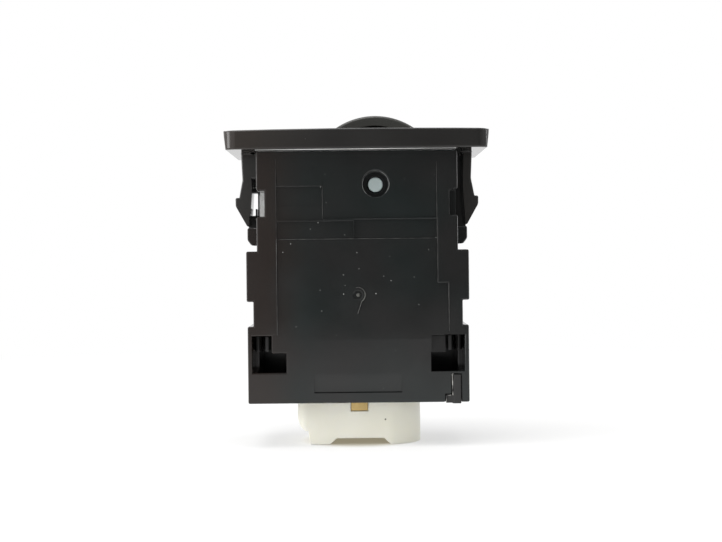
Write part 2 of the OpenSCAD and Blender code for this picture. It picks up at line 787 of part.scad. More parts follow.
// Plate behind one snap arm, bevelled at its lower outer corner
module guard_rib() {
    along_y(guard_y0, guard_y1)
        polygon([
            [upper_hw - 0.3, guard_z0],
            [guard_hw - 0.7, guard_z0],
            [guard_hw, guard_z0 + 0.9],
            [guard_hw, bezel_z0 - 0.03],
            [upper_hw - 0.05, bezel_z0 - 0.03],
            [upper_hw - 0.3, case_top]
        ]);
}

module circuit_board() {
    $fn = small_fn;
    color([0.18, 0.3, 0.2])
        difference() {
            along_y(board_y0, board_y1)
                polygon([
                    [-board_low_hw, board_z0],
                    [board_low_hw, board_z0],
                    [board_low_hw, board_low_z],
                    [board_hw, board_low_z],
                    [board_hw, board_z1],
                    [-board_hw, board_z1],
                    [-board_hw, board_low_z],
                    [-board_low_hw, board_low_z]
                ]);
            // Slot for the boss of the axle, open at the top
            rod_y(boss_r + 0.3, board_y0 - reach, board_y1 + reach, axle_x, axle_z);
            box([axle_x - boss_r - 0.3, board_y0 - reach, axle_z],
                [axle_x + boss_r + 0.3, board_y1 + reach, case_top]);
            for (x = [-peg_x, peg_x])
                rod_y(1 + seat, board_y0 - reach, board_y1 + reach, x, peg_z);
            for (k = [-2:2])
                rod_y(0.56, board_y0 - reach, board_y1 + reach,
                    socket_x + k * terminal_pitch, bend_z - terminal_t / 2);
            for (s = [-1, 1])
                rod_y(lead_r + seat, board_y0 - reach, board_y1 + reach,
                    lamp_x + s * lead_x, lead_z);
        }
}

// Chip with bright ends, lying against the board
module chip(z) {
    translate([chip_x - chip_size[0] / 2, board_y0 - chip_size[1] - 0.02, z - chip_size[2] / 2])
        cube(chip_size);
}

module resistor_1() {
    color([0.1, 0.1, 0.11]) chip(chip_z[0]);
}

module resistor_2() {
    color([0.1, 0.1, 0.11]) chip(chip_z[1]);
}

module lamp_holder() {
    $fn = small_fn;
    color([0.2, 0.22, 0.2])
        difference() {
            union() {
                box([lamp_x - lamp_cup_r + 0.15, -1.4, lamp_foot_z],
                    [lamp_x + lamp_cup_r - 0.15, board_y0 - 0.02, lamp_cup_z + eps]);
                translate([lamp_x, 0, lamp_cup_z]) cylinder(r = lamp_cup_r, h = lamp_cup_h);
            }
            translate([lamp_x, 0, lamp_cup_z + 0.8])
                cylinder(r = bulb_r + seat, h = lamp_cup_h);
            for (s = [-1, 1])
                translate([lamp_x + s * lead_x, 0, lamp_foot_z - reach])
                    cylinder(r = lead_r + seat, h = 6);
        }
}

module lamp_bulb() {
    $fn = mid_fn;
    color([0.9, 0.9, 0.85, 0.5]) {
        translate([lamp_x, 0, lamp_cup_z + 0.82])
            cylinder(r = bulb_r, h = lamp_top - bulb_r - lamp_cup_z - 0.82);
        translate([lamp_x, 0, lamp_top - bulb_r]) sphere(r = bulb_r);
    }
}

module lamp_leads() {
    $fn = small_fn;
    color([0.75, 0.73, 0.68])
        for (s = [-1, 1]) {
            translate([lamp_x + s * lead_x, 0, lead_z])
                cylinder(r = lead_r, h = lamp_cup_z + 0.78 - lead_z);
            rod_y(lead_r, 0, board_y1 + 0.3, lamp_x + s * lead_x, lead_z);
            translate([lamp_x + s * lead_x, 0, lead_z]) sphere(r = lead_r);
        }
}

// The step at the socket's lower left, with its curved shoulder
function shoulder_outline() = concat(
    [[socket_x0 - reach, -reach], [socket_x0 + step_w + 0.3, -reach],
        [socket_x0 + step_w + 0.3, 0]],
    [for (i = [6:-1:0]) let (a = 15 * i)
        [socket_x0 + step_w * (1 - cos(a)), step_z1 - (step_z1 - step_z0) * sin(a)]],
    [[socket_x0 - reach, step_z1]]
);

module connector_shell() {
    color([0.86, 0.85, 0.8])
        difference() {
            union() {
                linear_extrude(socket_floor + eps)
                    end_rounded(socket_x0, socket_x1, socket_hd, 1.5, socket_round);
                box([socket_x0 - flange_side, -cavity_hd + 0.15, flange_z0],
                    [socket_x1 + flange_side, cavity_hd - 0.15, flange_z1]);
            }
            translate([0, 0, -reach])
                linear_extrude(socket_floor + reach)
                    end_rounded(socket_left, socket_x1 - socket_wall,
                        socket_hd - socket_wall, 0.6, socket_round - socket_wall);
            along_y(-case_hd, case_hd) polygon(shoulder_outline());
            // Key notch in the near rim
            along_y(-case_hd, -socket_hd + socket_wall + reach)
                polygon([
                    [key_x - key_w / 2, -reach],
                    [key_x - key_w / 2, 0],
                    [key_x - key_w / 2 + key_slope, key_h],
                    [key_x + key_w / 2 - key_slope, key_h],
                    [key_x + key_w / 2, 0],
                    [key_x + key_w / 2, -reach]
                ]);
            for (k = [-2:2])
                translate([socket_x + k * terminal_pitch, 0, 0])
                    box([-terminal_w / 2 - seat, blade_y - seat, socket_floor - reach],
                        [terminal_w / 2 + seat, blade_y + terminal_t + seat, flange_z1 + reach]);
            // Recess of the brass tongue
            box([socket_x - tab_w / 2 - seat, -case_hd, tab_z - seat],
                [socket_x + tab_w / 2 + seat, -socket_hd + tab_t + 2 * seat, flange_z1 + reach]);
        }
}

// Blade with a tapered tip, bent back to a pin through the board
module terminal(k) {
    hw = terminal_w / 2;
    translate([socket_x + k * terminal_pitch, 0, 0]) {
        along_y(blade_y, blade_y + terminal_t)
            polygon([
                [-hw + 0.3, blade_z],
                [hw - 0.3, blade_z],
                [hw, blade_z + 0.8],
                [hw, bend_z],
                [-hw, bend_z],
                [-hw, blade_z + 0.8]
            ]);
        box([-pin_w / 2, blade_y, bend_z - terminal_t], [pin_w / 2, pin_y1, bend_z]);
    }
}

module terminal_1() {
    color([0.78, 0.64, 0.36]) terminal(-2);
}

module terminal_2() {
    color([0.78, 0.64, 0.36]) terminal(-1);
}

// The middle terminal also has the tongue that shows between socket and housing
module terminal_3() {
    over = flange_z1 + seat;
    y0 = -socket_hd + seat;
    color([0.78, 0.64, 0.36]) {
        terminal(0);
        box([socket_x - tab_w / 2, y0, over], [socket_x + tab_w / 2, blade_y + eps, over + tab_t]);
        box([socket_x - tab_w / 2, y0, tab_z], [socket_x + tab_w / 2, y0 + tab_t, over + tab_t]);
    }
}

module terminal_4() {
    color([0.78, 0.64, 0.36]) terminal(1);
}

module terminal_5() {
    color([0.78, 0.64, 0.36]) terminal(2);
}

module solder_joints() {
    $fn = small_fn;
    color([0.7, 0.71, 0.72])
        for (k = [-2:2])
            translate([socket_x + k * terminal_pitch, board_y1 + 0.01, bend_z - terminal_t / 2])
                rotate([-90, 0, 0])
                    difference() {
                        cylinder(r1 = 0.95, r2 = 0.65, h = 0.3);
                        translate([-pin_w / 2, -terminal_t / 2, -reach])
                            cube([pin_w, terminal_t, 2 * reach]);
                    }
}

bezel();
symbol_lens();
light_guide();
thumbwheel();
wiper_contact();
axle_pin();
friction_spring();
case_front();
case_rear();
circuit_board();
resistor_1();
resistor_2();
lamp_holder();
lamp_bulb();
lamp_leads();
connector_shell();
terminal_1();
terminal_2();
terminal_3();
terminal_4();
terminal_5();
solder_joints();
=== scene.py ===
"""Thumbwheel switch for a dashboard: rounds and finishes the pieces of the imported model, and lays out
the small studio in which it stands on its plug socket."""

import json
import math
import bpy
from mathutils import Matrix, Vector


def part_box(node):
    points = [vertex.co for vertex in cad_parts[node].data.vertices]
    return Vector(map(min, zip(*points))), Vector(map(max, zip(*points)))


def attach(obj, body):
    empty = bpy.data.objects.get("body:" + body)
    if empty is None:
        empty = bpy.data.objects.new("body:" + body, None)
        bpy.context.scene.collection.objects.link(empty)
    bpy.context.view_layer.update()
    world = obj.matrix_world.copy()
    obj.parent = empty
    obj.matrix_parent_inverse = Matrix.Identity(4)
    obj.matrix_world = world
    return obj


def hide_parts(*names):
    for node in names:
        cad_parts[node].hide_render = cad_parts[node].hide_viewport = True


bl_info = {
    "name": "Dashboard thumbwheel switch",
    "version": (1, 0, 0),
    "blender": (4, 5, 0),
    "location": "View3D > Sidebar > Switch",
    "description": "Models and finishes a headlight levelling thumbwheel switch",
    "category": "Object",
}

import bmesh
import bpy
import numpy as np
from bpy.props import FloatProperty, FloatVectorProperty, IntProperty, PointerProperty
from mathutils import Matrix, Vector
from mathutils.bvhtree import BVHTree

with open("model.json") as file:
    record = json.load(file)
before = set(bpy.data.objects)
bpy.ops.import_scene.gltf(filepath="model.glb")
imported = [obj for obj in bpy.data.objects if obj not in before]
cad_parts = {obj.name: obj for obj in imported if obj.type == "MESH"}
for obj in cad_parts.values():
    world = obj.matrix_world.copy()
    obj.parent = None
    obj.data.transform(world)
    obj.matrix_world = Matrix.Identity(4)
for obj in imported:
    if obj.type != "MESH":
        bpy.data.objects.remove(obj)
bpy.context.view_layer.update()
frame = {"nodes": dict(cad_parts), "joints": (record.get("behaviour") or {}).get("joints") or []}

MM = 0.001
HINGE = Vector(frame["joints"][0]["pos_m"])
WHEEL_STOP = max(frame["joints"][0]["range_deg"])
WHEEL_RADIUS = (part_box("thumbwheel")[1].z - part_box("thumbwheel")[0].z) / 2
NEAR_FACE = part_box("case_front")[0].y
HOUSING_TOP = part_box("case_front")[1].z


# Properties

def length_property(name, description, millimetres):
    """A size that a user may change."""
    return FloatProperty(name=name, description=description, default=millimetres * MM,
                         subtype="DISTANCE", unit="LENGTH", precision=5)


def colour_property(name, description, default):
    """A colour that a user may change."""
    return FloatVectorProperty(name=name, description=description, default=default, size=3,
                               subtype="COLOR", min=0, max=1)


class SwitchSizes(bpy.types.PropertyGroup):
    """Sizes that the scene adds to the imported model"""
    housing_edge: length_property(
        "Housing edge radius", "Rounding of the housing's moulded edges", 0.22)
    bezel_edge: length_property("Bezel edge radius", "Rounding of the bezel's edges", 0.25)
    socket_edge: length_property(
        "Socket edge radius", "Rounding of the white socket's edges", 0.2)
    wheel_edge: length_property(
        "Wheel edge radius", "Rounding of the wheel's rims and grip ribs", 0.12)
    metal_edge: length_property(
        "Metal edge radius", "Rounding of the stamped metal's edges", 0.07)
    lip_overhang: length_property(
        "Plate overhang", "How far the light guide's plate stands out of its seat", 2.0)
    lip_thickness: length_property(
        "Plate thickness", "Thickness of the light guide's plate at its lips", 0.11)
    line_width: length_property(
        "Mould line width", "Width of the thin lines round the moulded panels", 0.11)
    number_height: length_property("Number height", "Height of the numbers on the wheel", 2.5)
    number_proud: length_property(
        "Number thickness", "How far the printed numbers stand out of the band", 0.03)
    number_count: IntProperty(
        name="Settings", description="Number of settings printed on the wheel",
        default=4, min=2, max=6)


class SwitchFinish(bpy.types.PropertyGroup):
    """Colours and surface values of the materials"""
    housing: colour_property("Housing", "Colour of the black housing", (0.0125, 0.0123, 0.0121))
    housing_cool: colour_property(
        "Housing, cool drift", "Greener tint that drifts over the housing",
        (0.0095, 0.0128, 0.0125))
    housing_warm: colour_property(
        "Housing, warm side", "Browner tint at the window end of the housing",
        (0.0155, 0.0110, 0.0090))
    bezel: colour_property("Bezel", "Colour of the bezel", (0.0155, 0.0148, 0.0140))
    # Painted reflection: the bezel's left end is painted lighter and browner, for the light on the left
    bezel_warm: colour_property(
        "Bezel, warm side", "Browner tint at the window end of the bezel",
        (0.0260, 0.0200, 0.0160))
    wheel: colour_property("Wheel", "Colour of the thumbwheel", (0.046, 0.046, 0.041))
    nylon: colour_property("Socket", "Colour of the milky nylon socket", (0.87, 0.855, 0.765))
    brass: colour_property("Brass", "Colour of the terminals", (0.60, 0.44, 0.19))
    steel: colour_property("Axle", "Colour of the axle's cut end", (0.72, 0.84, 0.83))
    numbers: colour_property("Numbers", "Colour of the printed numbers", (0.60, 0.61, 0.58))
    dust: FloatProperty(
        name="Dust", description="Share of the surface grid that carries a speck of dust",
        default=0.24, min=0, max=1, subtype="FACTOR")


def sizes():
    return bpy.context.scene.switch_sizes


def finish():
    return bpy.context.scene.switch_finish


# Nodes

# A Mix node's sockets for its factor and for its two colours, and the result of each kind
MIX_FACTOR, MIX_FIRST_COLOUR, MIX_SECOND_COLOUR = 0, 6, 7
MIX_FIRST_NUMBER, MIX_SECOND_NUMBER = 2, 3
MIX_NUMBER_OUT, MIX_COLOUR_OUT = 0, 2
# Nearly all of a noise's values lie in this span
NOISE_SPAN = (0.3, 0.7)


def feed(tree, node, sockets):
    """Links or sets a node's inputs, which are given by name or number."""
    for key, value in sockets.items():
        socket = node.inputs[key]
        if isinstance(value, bpy.types.NodeSocket):
            tree.links.new(value, socket)
        elif socket.type == "RGBA":
            socket.default_value = (*value, 1.0)
        else:
            socket.default_value = value


def add(tree, kind, sockets, **settings):
    """A node with its settings made and its inputs fed."""
    node = tree.nodes.new(kind)
    for key, value in settings.items():
        setattr(node, key, value)
    feed(tree, node, sockets)
    return node


def maths(tree, operation, *values, clamp=False):
    """A Math node on sockets or plain numbers; returns its output."""
    return add(tree, "ShaderNodeMath", dict(enumerate(values)), operation=operation,
               use_clamp=clamp).outputs[0]


def vector_maths(tree, operation, *values):
    """A Vector Math node on sockets or plain vectors."""
    return add(tree, "ShaderNodeVectorMath", dict(enumerate(values)), operation=operation)


def remap(tree, value, low, high, to_low=0.0, to_high=1.0):
    """A Map Range node; returns its output."""
    return add(tree, "ShaderNodeMapRange",
               {0: value, 1: low, 2: high, 3: to_low, 4: to_high}).outputs[0]


def blend_colours(tree, factor, first, second):
    """A Mix node for colours; returns its colour output."""
    return add(tree, "ShaderNodeMix",
               {MIX_FACTOR: factor, MIX_FIRST_COLOUR: first, MIX_SECOND_COLOUR: second},
               data_type="RGBA").outputs[MIX_COLOUR_OUT]


def noise(tree, where, scale, detail=2.0, roughness=0.5):
    """A Noise Texture node."""
    return add(tree, "ShaderNodeTexNoise",
               {"Vector": where, "Scale": scale, "Detail": detail, "Roughness": roughness})


def axes(tree, where):
    """The X, Y and Z of a place."""
    return add(tree, "ShaderNodeSeparateXYZ", {0: where}).outputs


# Node groups, each built when the first material asks for it

def new_group(name, outputs, **inputs):
    """A shader group with a Vector input, other inputs with their defaults, and number outputs;
    returns it with its two end nodes."""
    group = bpy.data.node_groups.new(name, "ShaderNodeTree")
    group.interface.new_socket(name="Vector", in_out="INPUT", socket_type="NodeSocketVector")
    for label, value in inputs.items():
        kind = "NodeSocketFloat" if isinstance(value, float) else "NodeSocketVector"
        socket = group.interface.new_socket(name=label, in_out="INPUT", socket_type=kind)
        socket.default_value = value
    for label in outputs:
        group.interface.new_socket(name=label, in_out="OUTPUT", socket_type="NodeSocketFloat")
    return group, group.nodes.new("NodeGroupInput"), group.nodes.new("NodeGroupOutput")


def dust_group(name):
    """Small pale specks, one at most in each cell of a loose grid."""
    group, start, end = new_group(name, ["Mask"], Cells=400.0, Amount=0.05, Size=0.06)
    raggedness = 0.25 * MM
    sharpness = 60.0
    where = start.outputs["Vector"]
    ragged = noise(group, where, 9000.0)
    warped = vector_maths(group, "MULTIPLY_ADD", ragged.outputs["Color"], (raggedness,) * 3, where)
    cells = add(group, "ShaderNodeTexVoronoi",
                {"Vector": warped.outputs[0], "Scale": start.outputs["Cells"]},
                voronoi_dimensions="3D", feature="F1")
    draws = add(group, "ShaderNodeSeparateColor", {0: cells.outputs["Color"]}).outputs
    chosen = maths(group, "LESS_THAN", draws[0], start.outputs["Amount"])
    radius = maths(group, "MULTIPLY", draws[1], start.outputs["Size"])
    inside = maths(group, "SUBTRACT", radius, cells.outputs["Distance"])
    soft = maths(group, "MULTIPLY", inside, sharpness, clamp=True)
    paleness = maths(group, "MULTIPLY_ADD", draws[2], 0.75, 0.25)
    speck = maths(group, "MULTIPLY", soft, chosen)
    feed(group, end, {"Mask": maths(group, "MULTIPLY", speck, paleness)})
    return group


def grain_group(name):
    """The fine spark-eroded grain of a moulding, as a height, and slow drifts of shine and tint."""
    group, start, end = new_group(name, ["Height", "Shine", "Tint"], Fineness=9000.0, Drift=160.0)
    where = start.outputs["Vector"]
    drift = start.outputs["Drift"]
    tint_scale = maths(group, "MULTIPLY", drift, 0.6)
    feed(group, end, {
        "Height": noise(group, where, start.outputs["Fineness"], 3.0, 0.6).outputs["Fac"],
        "Shine": noise(group, where, drift, 2.0).outputs["Fac"],
        "Tint": noise(group, where, tint_scale, 1.0).outputs["Fac"]})
    return group


def scratch_group(name):
    """Fine drawn lines along one direction, as on rolled or turned metal."""
    group, start, end = new_group(name, ["Lines"], Stretch=(1.0, 1.0, 1.0), Fineness=4000.0)
    stretched = vector_maths(group, "MULTIPLY", start.outputs["Vector"], start.outputs["Stretch"])
    lines = noise(group, stretched.outputs[0], start.outputs["Fineness"], 3.0, 0.6)
    feed(group, end, {"Lines": lines.outputs["Fac"]})
    return group


GROUPS = {"Dust specks": dust_group, "Moulded grain": grain_group, "Drawn lines": scratch_group}


def place_group(tree, name, where, **values):
    """A group node fed with the place on the surface and its own values; returns its outputs."""
    group = bpy.data.node_groups.get(name) or GROUPS[name](name)
    return add(tree, "ShaderNodeGroup", {"Vector": where, **values}, node_tree=group).outputs


# Materials: each maker adds its nodes to a tree and returns what they feed to the shader

DUST_COLOUR = (0.55, 0.56, 0.54)
CLEAR_PLASTIC_IOR = 1.49
UNSTRETCHED = (1.0, 1.0, 1.0)


def scaled(colour, factor):
    return tuple(c * factor for c in colour)


def bump(tree, height, strength, distance):
    """The normals that a height gives to the surface."""
    return add(tree, "ShaderNodeBump", {
        "Strength": strength, "Distance": distance, "Height": height}).outputs["Normal"]


def grained(tree, where, fineness, drift):
    """The height, shine and tint of a grained surface."""
    return place_group(tree, "Moulded grain", where, Fineness=fineness, Drift=drift)


def tinted(tree, grain, first, second, low=NOISE_SPAN[0], high=NOISE_SPAN[1]):
    """Two close tints that drift into each other."""
    return blend_colours(tree, remap(tree, grain["Tint"], low, high), first, second)


def uneven(tree, grain, low, high):
    """A roughness that drifts between two values."""
    return remap(tree, grain["Shine"], *NOISE_SPAN, low, high)


def moulded(tree, where, colour, second, shine=(0.2, 0.27), dust=1.0, warm_end=None,
            warm_reach=(-4.5 * MM, -10.5 * MM), painted_light_below=None):
    """A black or coloured moulding: two close tints, grain, uneven shine and a little dust. Its
    colour drifts to warm_end along X, which on the bezel is partly a painted reflection of the
    light on the left. Lower down, on the bezel's arms and underside, it turns to a lighter colour,
    which is painted light, and the underside shines."""
    grain = grained(tree, where, 9000.0, 160.0)
    colours = tinted(tree, grain, colour, second, 0.35, 0.65)
    rough = uneven(tree, grain, *shine)
    # On the bezel this drift is a painted reflection of the light on the left; on the housing, a
    # browner tint
    if warm_end is not None:
        wave = maths(tree, "MULTIPLY_ADD", grain["Shine"], 6 * MM, axes(tree, where)[0])
        colours = blend_colours(tree, remap(tree, wave, *warm_reach), colours, warm_end)
    # Painted light: below the housing's top, the bezel's arms and underside turn to a lighter colour
    if painted_light_below is not None:
        height = axes(tree, where)[2]
        low = remap(tree, height, HOUSING_TOP + 0.6 * MM, HOUSING_TOP - 0.8 * MM)
        colours = blend_colours(tree, low, colours, painted_light_below)
        polish = remap(tree, height, HOUSING_TOP + 0.4 * MM, HOUSING_TOP + 0.25 * MM, 1.0, 0.35)
        rough = maths(tree, "MULTIPLY", rough, polish)
    amount = finish().dust * dust
    coarse = place_group(tree, "Dust specks", where, Cells=420.0, Amount=amount * 1.6, Size=0.065)
    fine = place_group(tree, "Dust specks", where, Cells=900.0, Amount=amount * 2.2, Size=0.14)
    dusty = maths(tree, "MAXIMUM", coarse["Mask"], fine["Mask"])
    cover, dullness, thickness = 0.9, 0.3, 2.0
    height = maths(tree, "MULTIPLY_ADD", dusty, thickness, grain["Height"])
    return {
        "Base Color": blend_colours(tree, maths(tree, "MULTIPLY", dusty, cover), colours,
                                    DUST_COLOUR),
        "Roughness": maths(tree, "MULTIPLY_ADD", dusty, dullness, rough, clamp=True),
        "Specular IOR Level": 0.45,
        "Normal": bump(tree, height, 0.35, 0.006 * MM)}


def worn(tree, where, body, crest):
    """A thin crest with a painted highlight: pale in patches, with the body's colour between them."""
    patches = grained(tree, where, 900.0, 600.0)
    pale = remap(tree, patches["Height"], 0.4, 0.6)
    return {"Base Color": blend_colours(tree, pale, body, crest),
            "Roughness": uneven(tree, patches, 0.3, 0.5),
            "Normal": bump(tree, patches["Height"], 0.3, 0.01 * MM)}


def crumb(tree, where):
    """A mask for the one dark crumb in the socket's near wall, wherever in its depth the wall is."""
    flatten = 0.02
    centre = Vector((3.82 * MM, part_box("connector_shell")[0].y * flatten, 3.64 * MM))
    flat = vector_maths(tree, "MULTIPLY", where, (1.0, flatten, 1.0))
    away = vector_maths(tree, "DISTANCE", flat.outputs[0], centre)
    return remap(tree, away.outputs["Value"], 0.17 * MM, 0.08 * MM)


def nylon(tree, where, pale):
    """Milky nylon: a pale body with faint flow clouds, a soft shine and a few dark specks."""
    deep = tuple(c * f for c, f in zip(pale, (0.93, 0.93, 0.90)))
    speck_colour, crumb_colour = (0.10, 0.085, 0.06), (0.06, 0.055, 0.045)
    grain = grained(tree, where, 5000.0, 220.0)
    specks = place_group(tree, "Dust specks", where, Cells=260.0, Amount=0.02, Size=0.05)
    colours = blend_colours(tree, specks["Mask"], tinted(tree, grain, pale, deep), speck_colour)
    return {"Base Color": blend_colours(tree, crumb(tree, where), colours, crumb_colour),
            "Roughness": uneven(tree, grain, 0.28, 0.42),
            "Specular IOR Level": 0.45,
            "Subsurface Weight": 0.25,
            "Subsurface Radius": (0.9, 0.8, 0.6),
            "Subsurface Scale": 0.9 * MM,
            "Normal": bump(tree, grain["Height"], 0.25, 0.006 * MM)}


def metal(tree, where, colour, second, shine=(0.28, 0.45), stretch=(1.0, 1.0, 0.08),
          tarnish=0.3):
    """Rolled, stamped or turned metal with fine lines and a dull bloom."""
    lines = place_group(tree, "Drawn lines", where, Stretch=stretch)["Lines"]
    bloom = remap(tree, grained(tree, where, 3000.0, 500.0)["Shine"], 0.4, 0.75, 0.0, tarnish)
    return {"Base Color": blend_colours(tree, bloom, colour, second),
            "Metallic": 1.0,
            "Roughness": remap(tree, lines, *NOISE_SPAN, *shine),
            "Normal": bump(tree, lines, 0.25, 0.006 * MM)}


def clear(tree, where, colour, rough):
    """Clear glass with a faint haze that drifts over it."""
    grain = grained(tree, where, 2500.0, 400.0)
    return {"Base Color": colour,
            "Roughness": uneven(tree, grain, rough * 0.5, rough * 1.6),
            "Transmission Weight": 1.0,
            "IOR": CLEAR_PLASTIC_IOR,
            "Normal": bump(tree, grain["Shine"], 0.2, 0.01 * MM)}


def frosted(tree, where, colour, through):
    """The light guide: clear plastic with a frosted skin, which lights up at its edges."""
    grain = grained(tree, where, 2500.0, 400.0)
    return {"Base Color": tinted(tree, grain, colour, scaled(colour, 0.96)),
            "Roughness": uneven(tree, grain, 0.2, 0.35),
            "Transmission Weight": through,
            "IOR": CLEAR_PLASTIC_IOR,
            "Normal": bump(tree, grain["Shine"], 0.2, 0.01 * MM)}


def edge_lit(tree, where, colour, flat):
    """The guide's thin plate: its cut edge is painted pale, painted light for the light seen through
    the gap under the bezel, and its flat faces are painted the bezel's black.
    """
    patches = grained(tree, where, 900.0, 120.0)
    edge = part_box("light_guide")[1].y + sizes().lip_overhang
    outward = maths(tree, "ABSOLUTE", axes(tree, where)[1])
    painted_light_at_edge = remap(tree, outward, edge - 0.06 * MM, edge - 0.03 * MM)
    pale = tinted(tree, patches, colour, scaled(colour, 0.4), 0.4, 0.6)
    return {"Base Color": blend_colours(tree, painted_light_at_edge, flat, pale),
            "Roughness": uneven(tree, patches, 0.25, 0.4),
            "Normal": bump(tree, patches["Shine"], 0.2, 0.01 * MM)}


def milky(tree, where):
    """The lens: milky white, smooth, a little translucent."""
    grain = grained(tree, where, 4000.0, 150.0)
    return {"Base Color": tinted(tree, grain, (0.58, 0.60, 0.58), (0.54, 0.56, 0.55)),
            "Roughness": uneven(tree, grain, 0.16, 0.26),
            "Subsurface Weight": 0.3,
            "Subsurface Radius": (1.0, 1.0, 1.0),
            "Subsurface Scale": 0.8 * MM,
            "Normal": bump(tree, grain["Height"], 0.15, 0.004 * MM)}


def board(tree, where):
    """Lacquered board: green with a fine weave of glass cloth."""
    threads = [add(tree, "ShaderNodeTexWave", {"Vector": where, "Scale": 700.0},
                   wave_type="BANDS", bands_direction=direction).outputs["Fac"]
               for direction in ("X", "Z")]
    cloth = maths(tree, "MULTIPLY", *threads)
    return {"Base Color": blend_colours(tree, cloth, (0.035, 0.12, 0.05), (0.06, 0.17, 0.08)),
            "Roughness": uneven(tree, grained(tree, where, 3000.0, 250.0), 0.22, 0.36),
            "Normal": bump(tree, cloth, 0.2, 0.01 * MM)}


def chip(tree, where):
    """A chip's dark body with bright ends, told apart by their place along X."""
    low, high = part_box("resistor_1")
    tinned_length = 0.45 * MM
    body_end = (high.x - low.x) / 2 - tinned_length
    from_middle = maths(tree, "SUBTRACT", axes(tree, where)[0], (low.x + high.x) / 2)
    tinned = maths(tree, "GREATER_THAN", maths(tree, "ABSOLUTE", from_middle), body_end)
    grain = grained(tree, where, 6000.0, 900.0)
    return {"Base Color": blend_colours(tree, tinned, (0.012, 0.012, 0.014), (0.62, 0.62, 0.6)),
            "Metallic": tinned,
            "Roughness": uneven(tree, grain, 0.25, 0.4),
            "Normal": bump(tree, grain["Height"], 0.2, 0.005 * MM)}


# Each finish by name; f holds the panel's colours, and at the tree and the place on the surface
FINISHES = {
    "housing black": lambda f, *at: moulded(
        *at, f.housing, f.housing_cool, shine=(0.12, 0.2), warm_end=f.housing_warm),
    # Painted light: the rear half is the front's black painted 1.7 times lighter, to lift the shade in
    # the windows
    "rear painted lighter black": lambda f, *at: moulded(
        *at, scaled(f.housing, 1.7), scaled(f.housing, 1.4), dust=0.6),
    "bezel black": lambda f, *at: moulded(
        # Painted reflection: the left end drifts to a lighter, browner colour
        *at, f.bezel, scaled(f.bezel, 0.85), shine=(0.2, 0.26), dust=0.35, warm_end=f.bezel_warm,
        # Painted light: the arms and underside are 1.75 times lighter than the bezel
        warm_reach=(-2 * MM, -18 * MM), painted_light_below=scaled(f.bezel, 1.75)),
    "wheel black": lambda f, *at: moulded(
        *at, f.wheel, scaled(f.wheel, 0.8), shine=(0.24, 0.32), dust=0.8),
    "number print": lambda f, *at: moulded(
        *at, f.numbers, scaled(f.numbers, 0.92), shine=(0.4, 0.5), dust=0.0),
    "holder black": lambda f, *at: moulded(
        *at, (0.03, 0.034, 0.03), (0.024, 0.027, 0.024), dust=0.0),
    # Painted highlights: the pale crests of the thin lines, the finger's edge, the gate mark and the
    # rim
    "worn edge": lambda f, *at: worn(*at, f.housing, (0.05, 0.05, 0.047)),
    "finger painted highlight": lambda f, *at: worn(*at, f.housing, (0.38, 0.37, 0.35)),
    "gate painted highlight": lambda f, *at: worn(*at, f.housing, (0.11, 0.11, 0.10)),
    "worn rim": lambda f, *at: worn(*at, f.housing, (0.16, 0.165, 0.16)),
    "milky nylon": lambda f, *at: nylon(*at, f.nylon),
    "milky lens": lambda f, *at: milky(*at),
    "frosted guide": lambda f, *at: frosted(*at, (0.98, 0.985, 0.97), 0.1),
    "plate lip painted light": lambda f, *at: edge_lit(*at, (0.97, 0.98, 0.96), f.bezel),
    "bulb glass": lambda f, *at: clear(*at, (0.97, 0.97, 0.95), 0.03),
    "axle steel": lambda f, *at: metal(
        *at, f.steel, scaled(f.steel, 0.8), shine=(0.3, 0.42), stretch=UNSTRETCHED),
    "spring steel": lambda f, *at: metal(*at, (0.55, 0.56, 0.57), (0.40, 0.41, 0.42)),
    "terminal brass": lambda f, *at: metal(
        *at, f.brass, scaled(f.brass, 0.72), shine=(0.3, 0.46), tarnish=0.6),
    "contact brass": lambda f, *at: metal(*at, (0.68, 0.52, 0.26), (0.50, 0.37, 0.18)),
    "tinned wire": lambda f, *at: metal(*at, (0.70, 0.69, 0.66), (0.52, 0.51, 0.49)),
    "solder": lambda f, *at: metal(
        *at, (0.58, 0.59, 0.60), (0.42, 0.43, 0.44), shine=(0.25, 0.5), stretch=UNSTRETCHED),
    "board green": lambda f, *at: board(*at),
    "chip black": lambda f, *at: chip(*at),
}
MATERIALS = {}


def new_material(name):
    """An empty material with its tree, its shader and its object coordinates."""
    material = bpy.data.materials.new(name)
    material.use_nodes = True
    tree = material.node_tree
    place = tree.nodes.new("ShaderNodeTexCoord")
    return material, tree, tree.nodes["Principled BSDF"], place.outputs["Object"]


def dress(piece, name):
    """Gives a piece one material, built the first time that a piece asks for it."""
    if name not in MATERIALS:
        MATERIALS[name], tree, shader, where = new_material(name)
        feed(tree, shader, FINISHES[name](finish(), tree, where))
    piece.data.materials.clear()
    piece.data.materials.append(MATERIALS[name])


def seen_directly(tree):
    """Two masks: rays straight from the camera, and rays that shiny or clear surfaces send on."""
    rays = tree.nodes.new("ShaderNodeLightPath").outputs
    sent_on = maths(tree, "MAXIMUM", rays["Is Glossy Ray"], rays["Is Transmission Ray"])
    return rays["Is Camera Ray"], sent_on


# Rounded edges of the copies of CAD nodes, worked out in millimetres

# Inner corners of a moulding are sharper than its outer edges, by this factor
INNER_CORNER = 0.4
# Sharp edges that turn less than this cosine at a vertex belong to one chain
SAME_CHAIN = 0.72
# A bevel's triangle that leans further than this cosine from its face is folded over
FOLDED = 0.3
# Lengths and areas below these count as nothing
SHORTEST_EDGE = 1e-6
SMALLEST_AREA = 1e-5


def flat_groups(bm, sharp):
    """Numbers the faces so that faces joined by edges below the sharp angle share a number."""
    group = {}
    for seed in bm.faces:
        if seed in group:
            continue
        number = len(group)
        group[seed] = number
        joined = [seed]
        for face in joined:
            for edge in face.edges:
                for other in edge.link_faces:
                    if edge not in sharp and other not in group:
                        group[other] = number
                        joined.append(other)
    return group


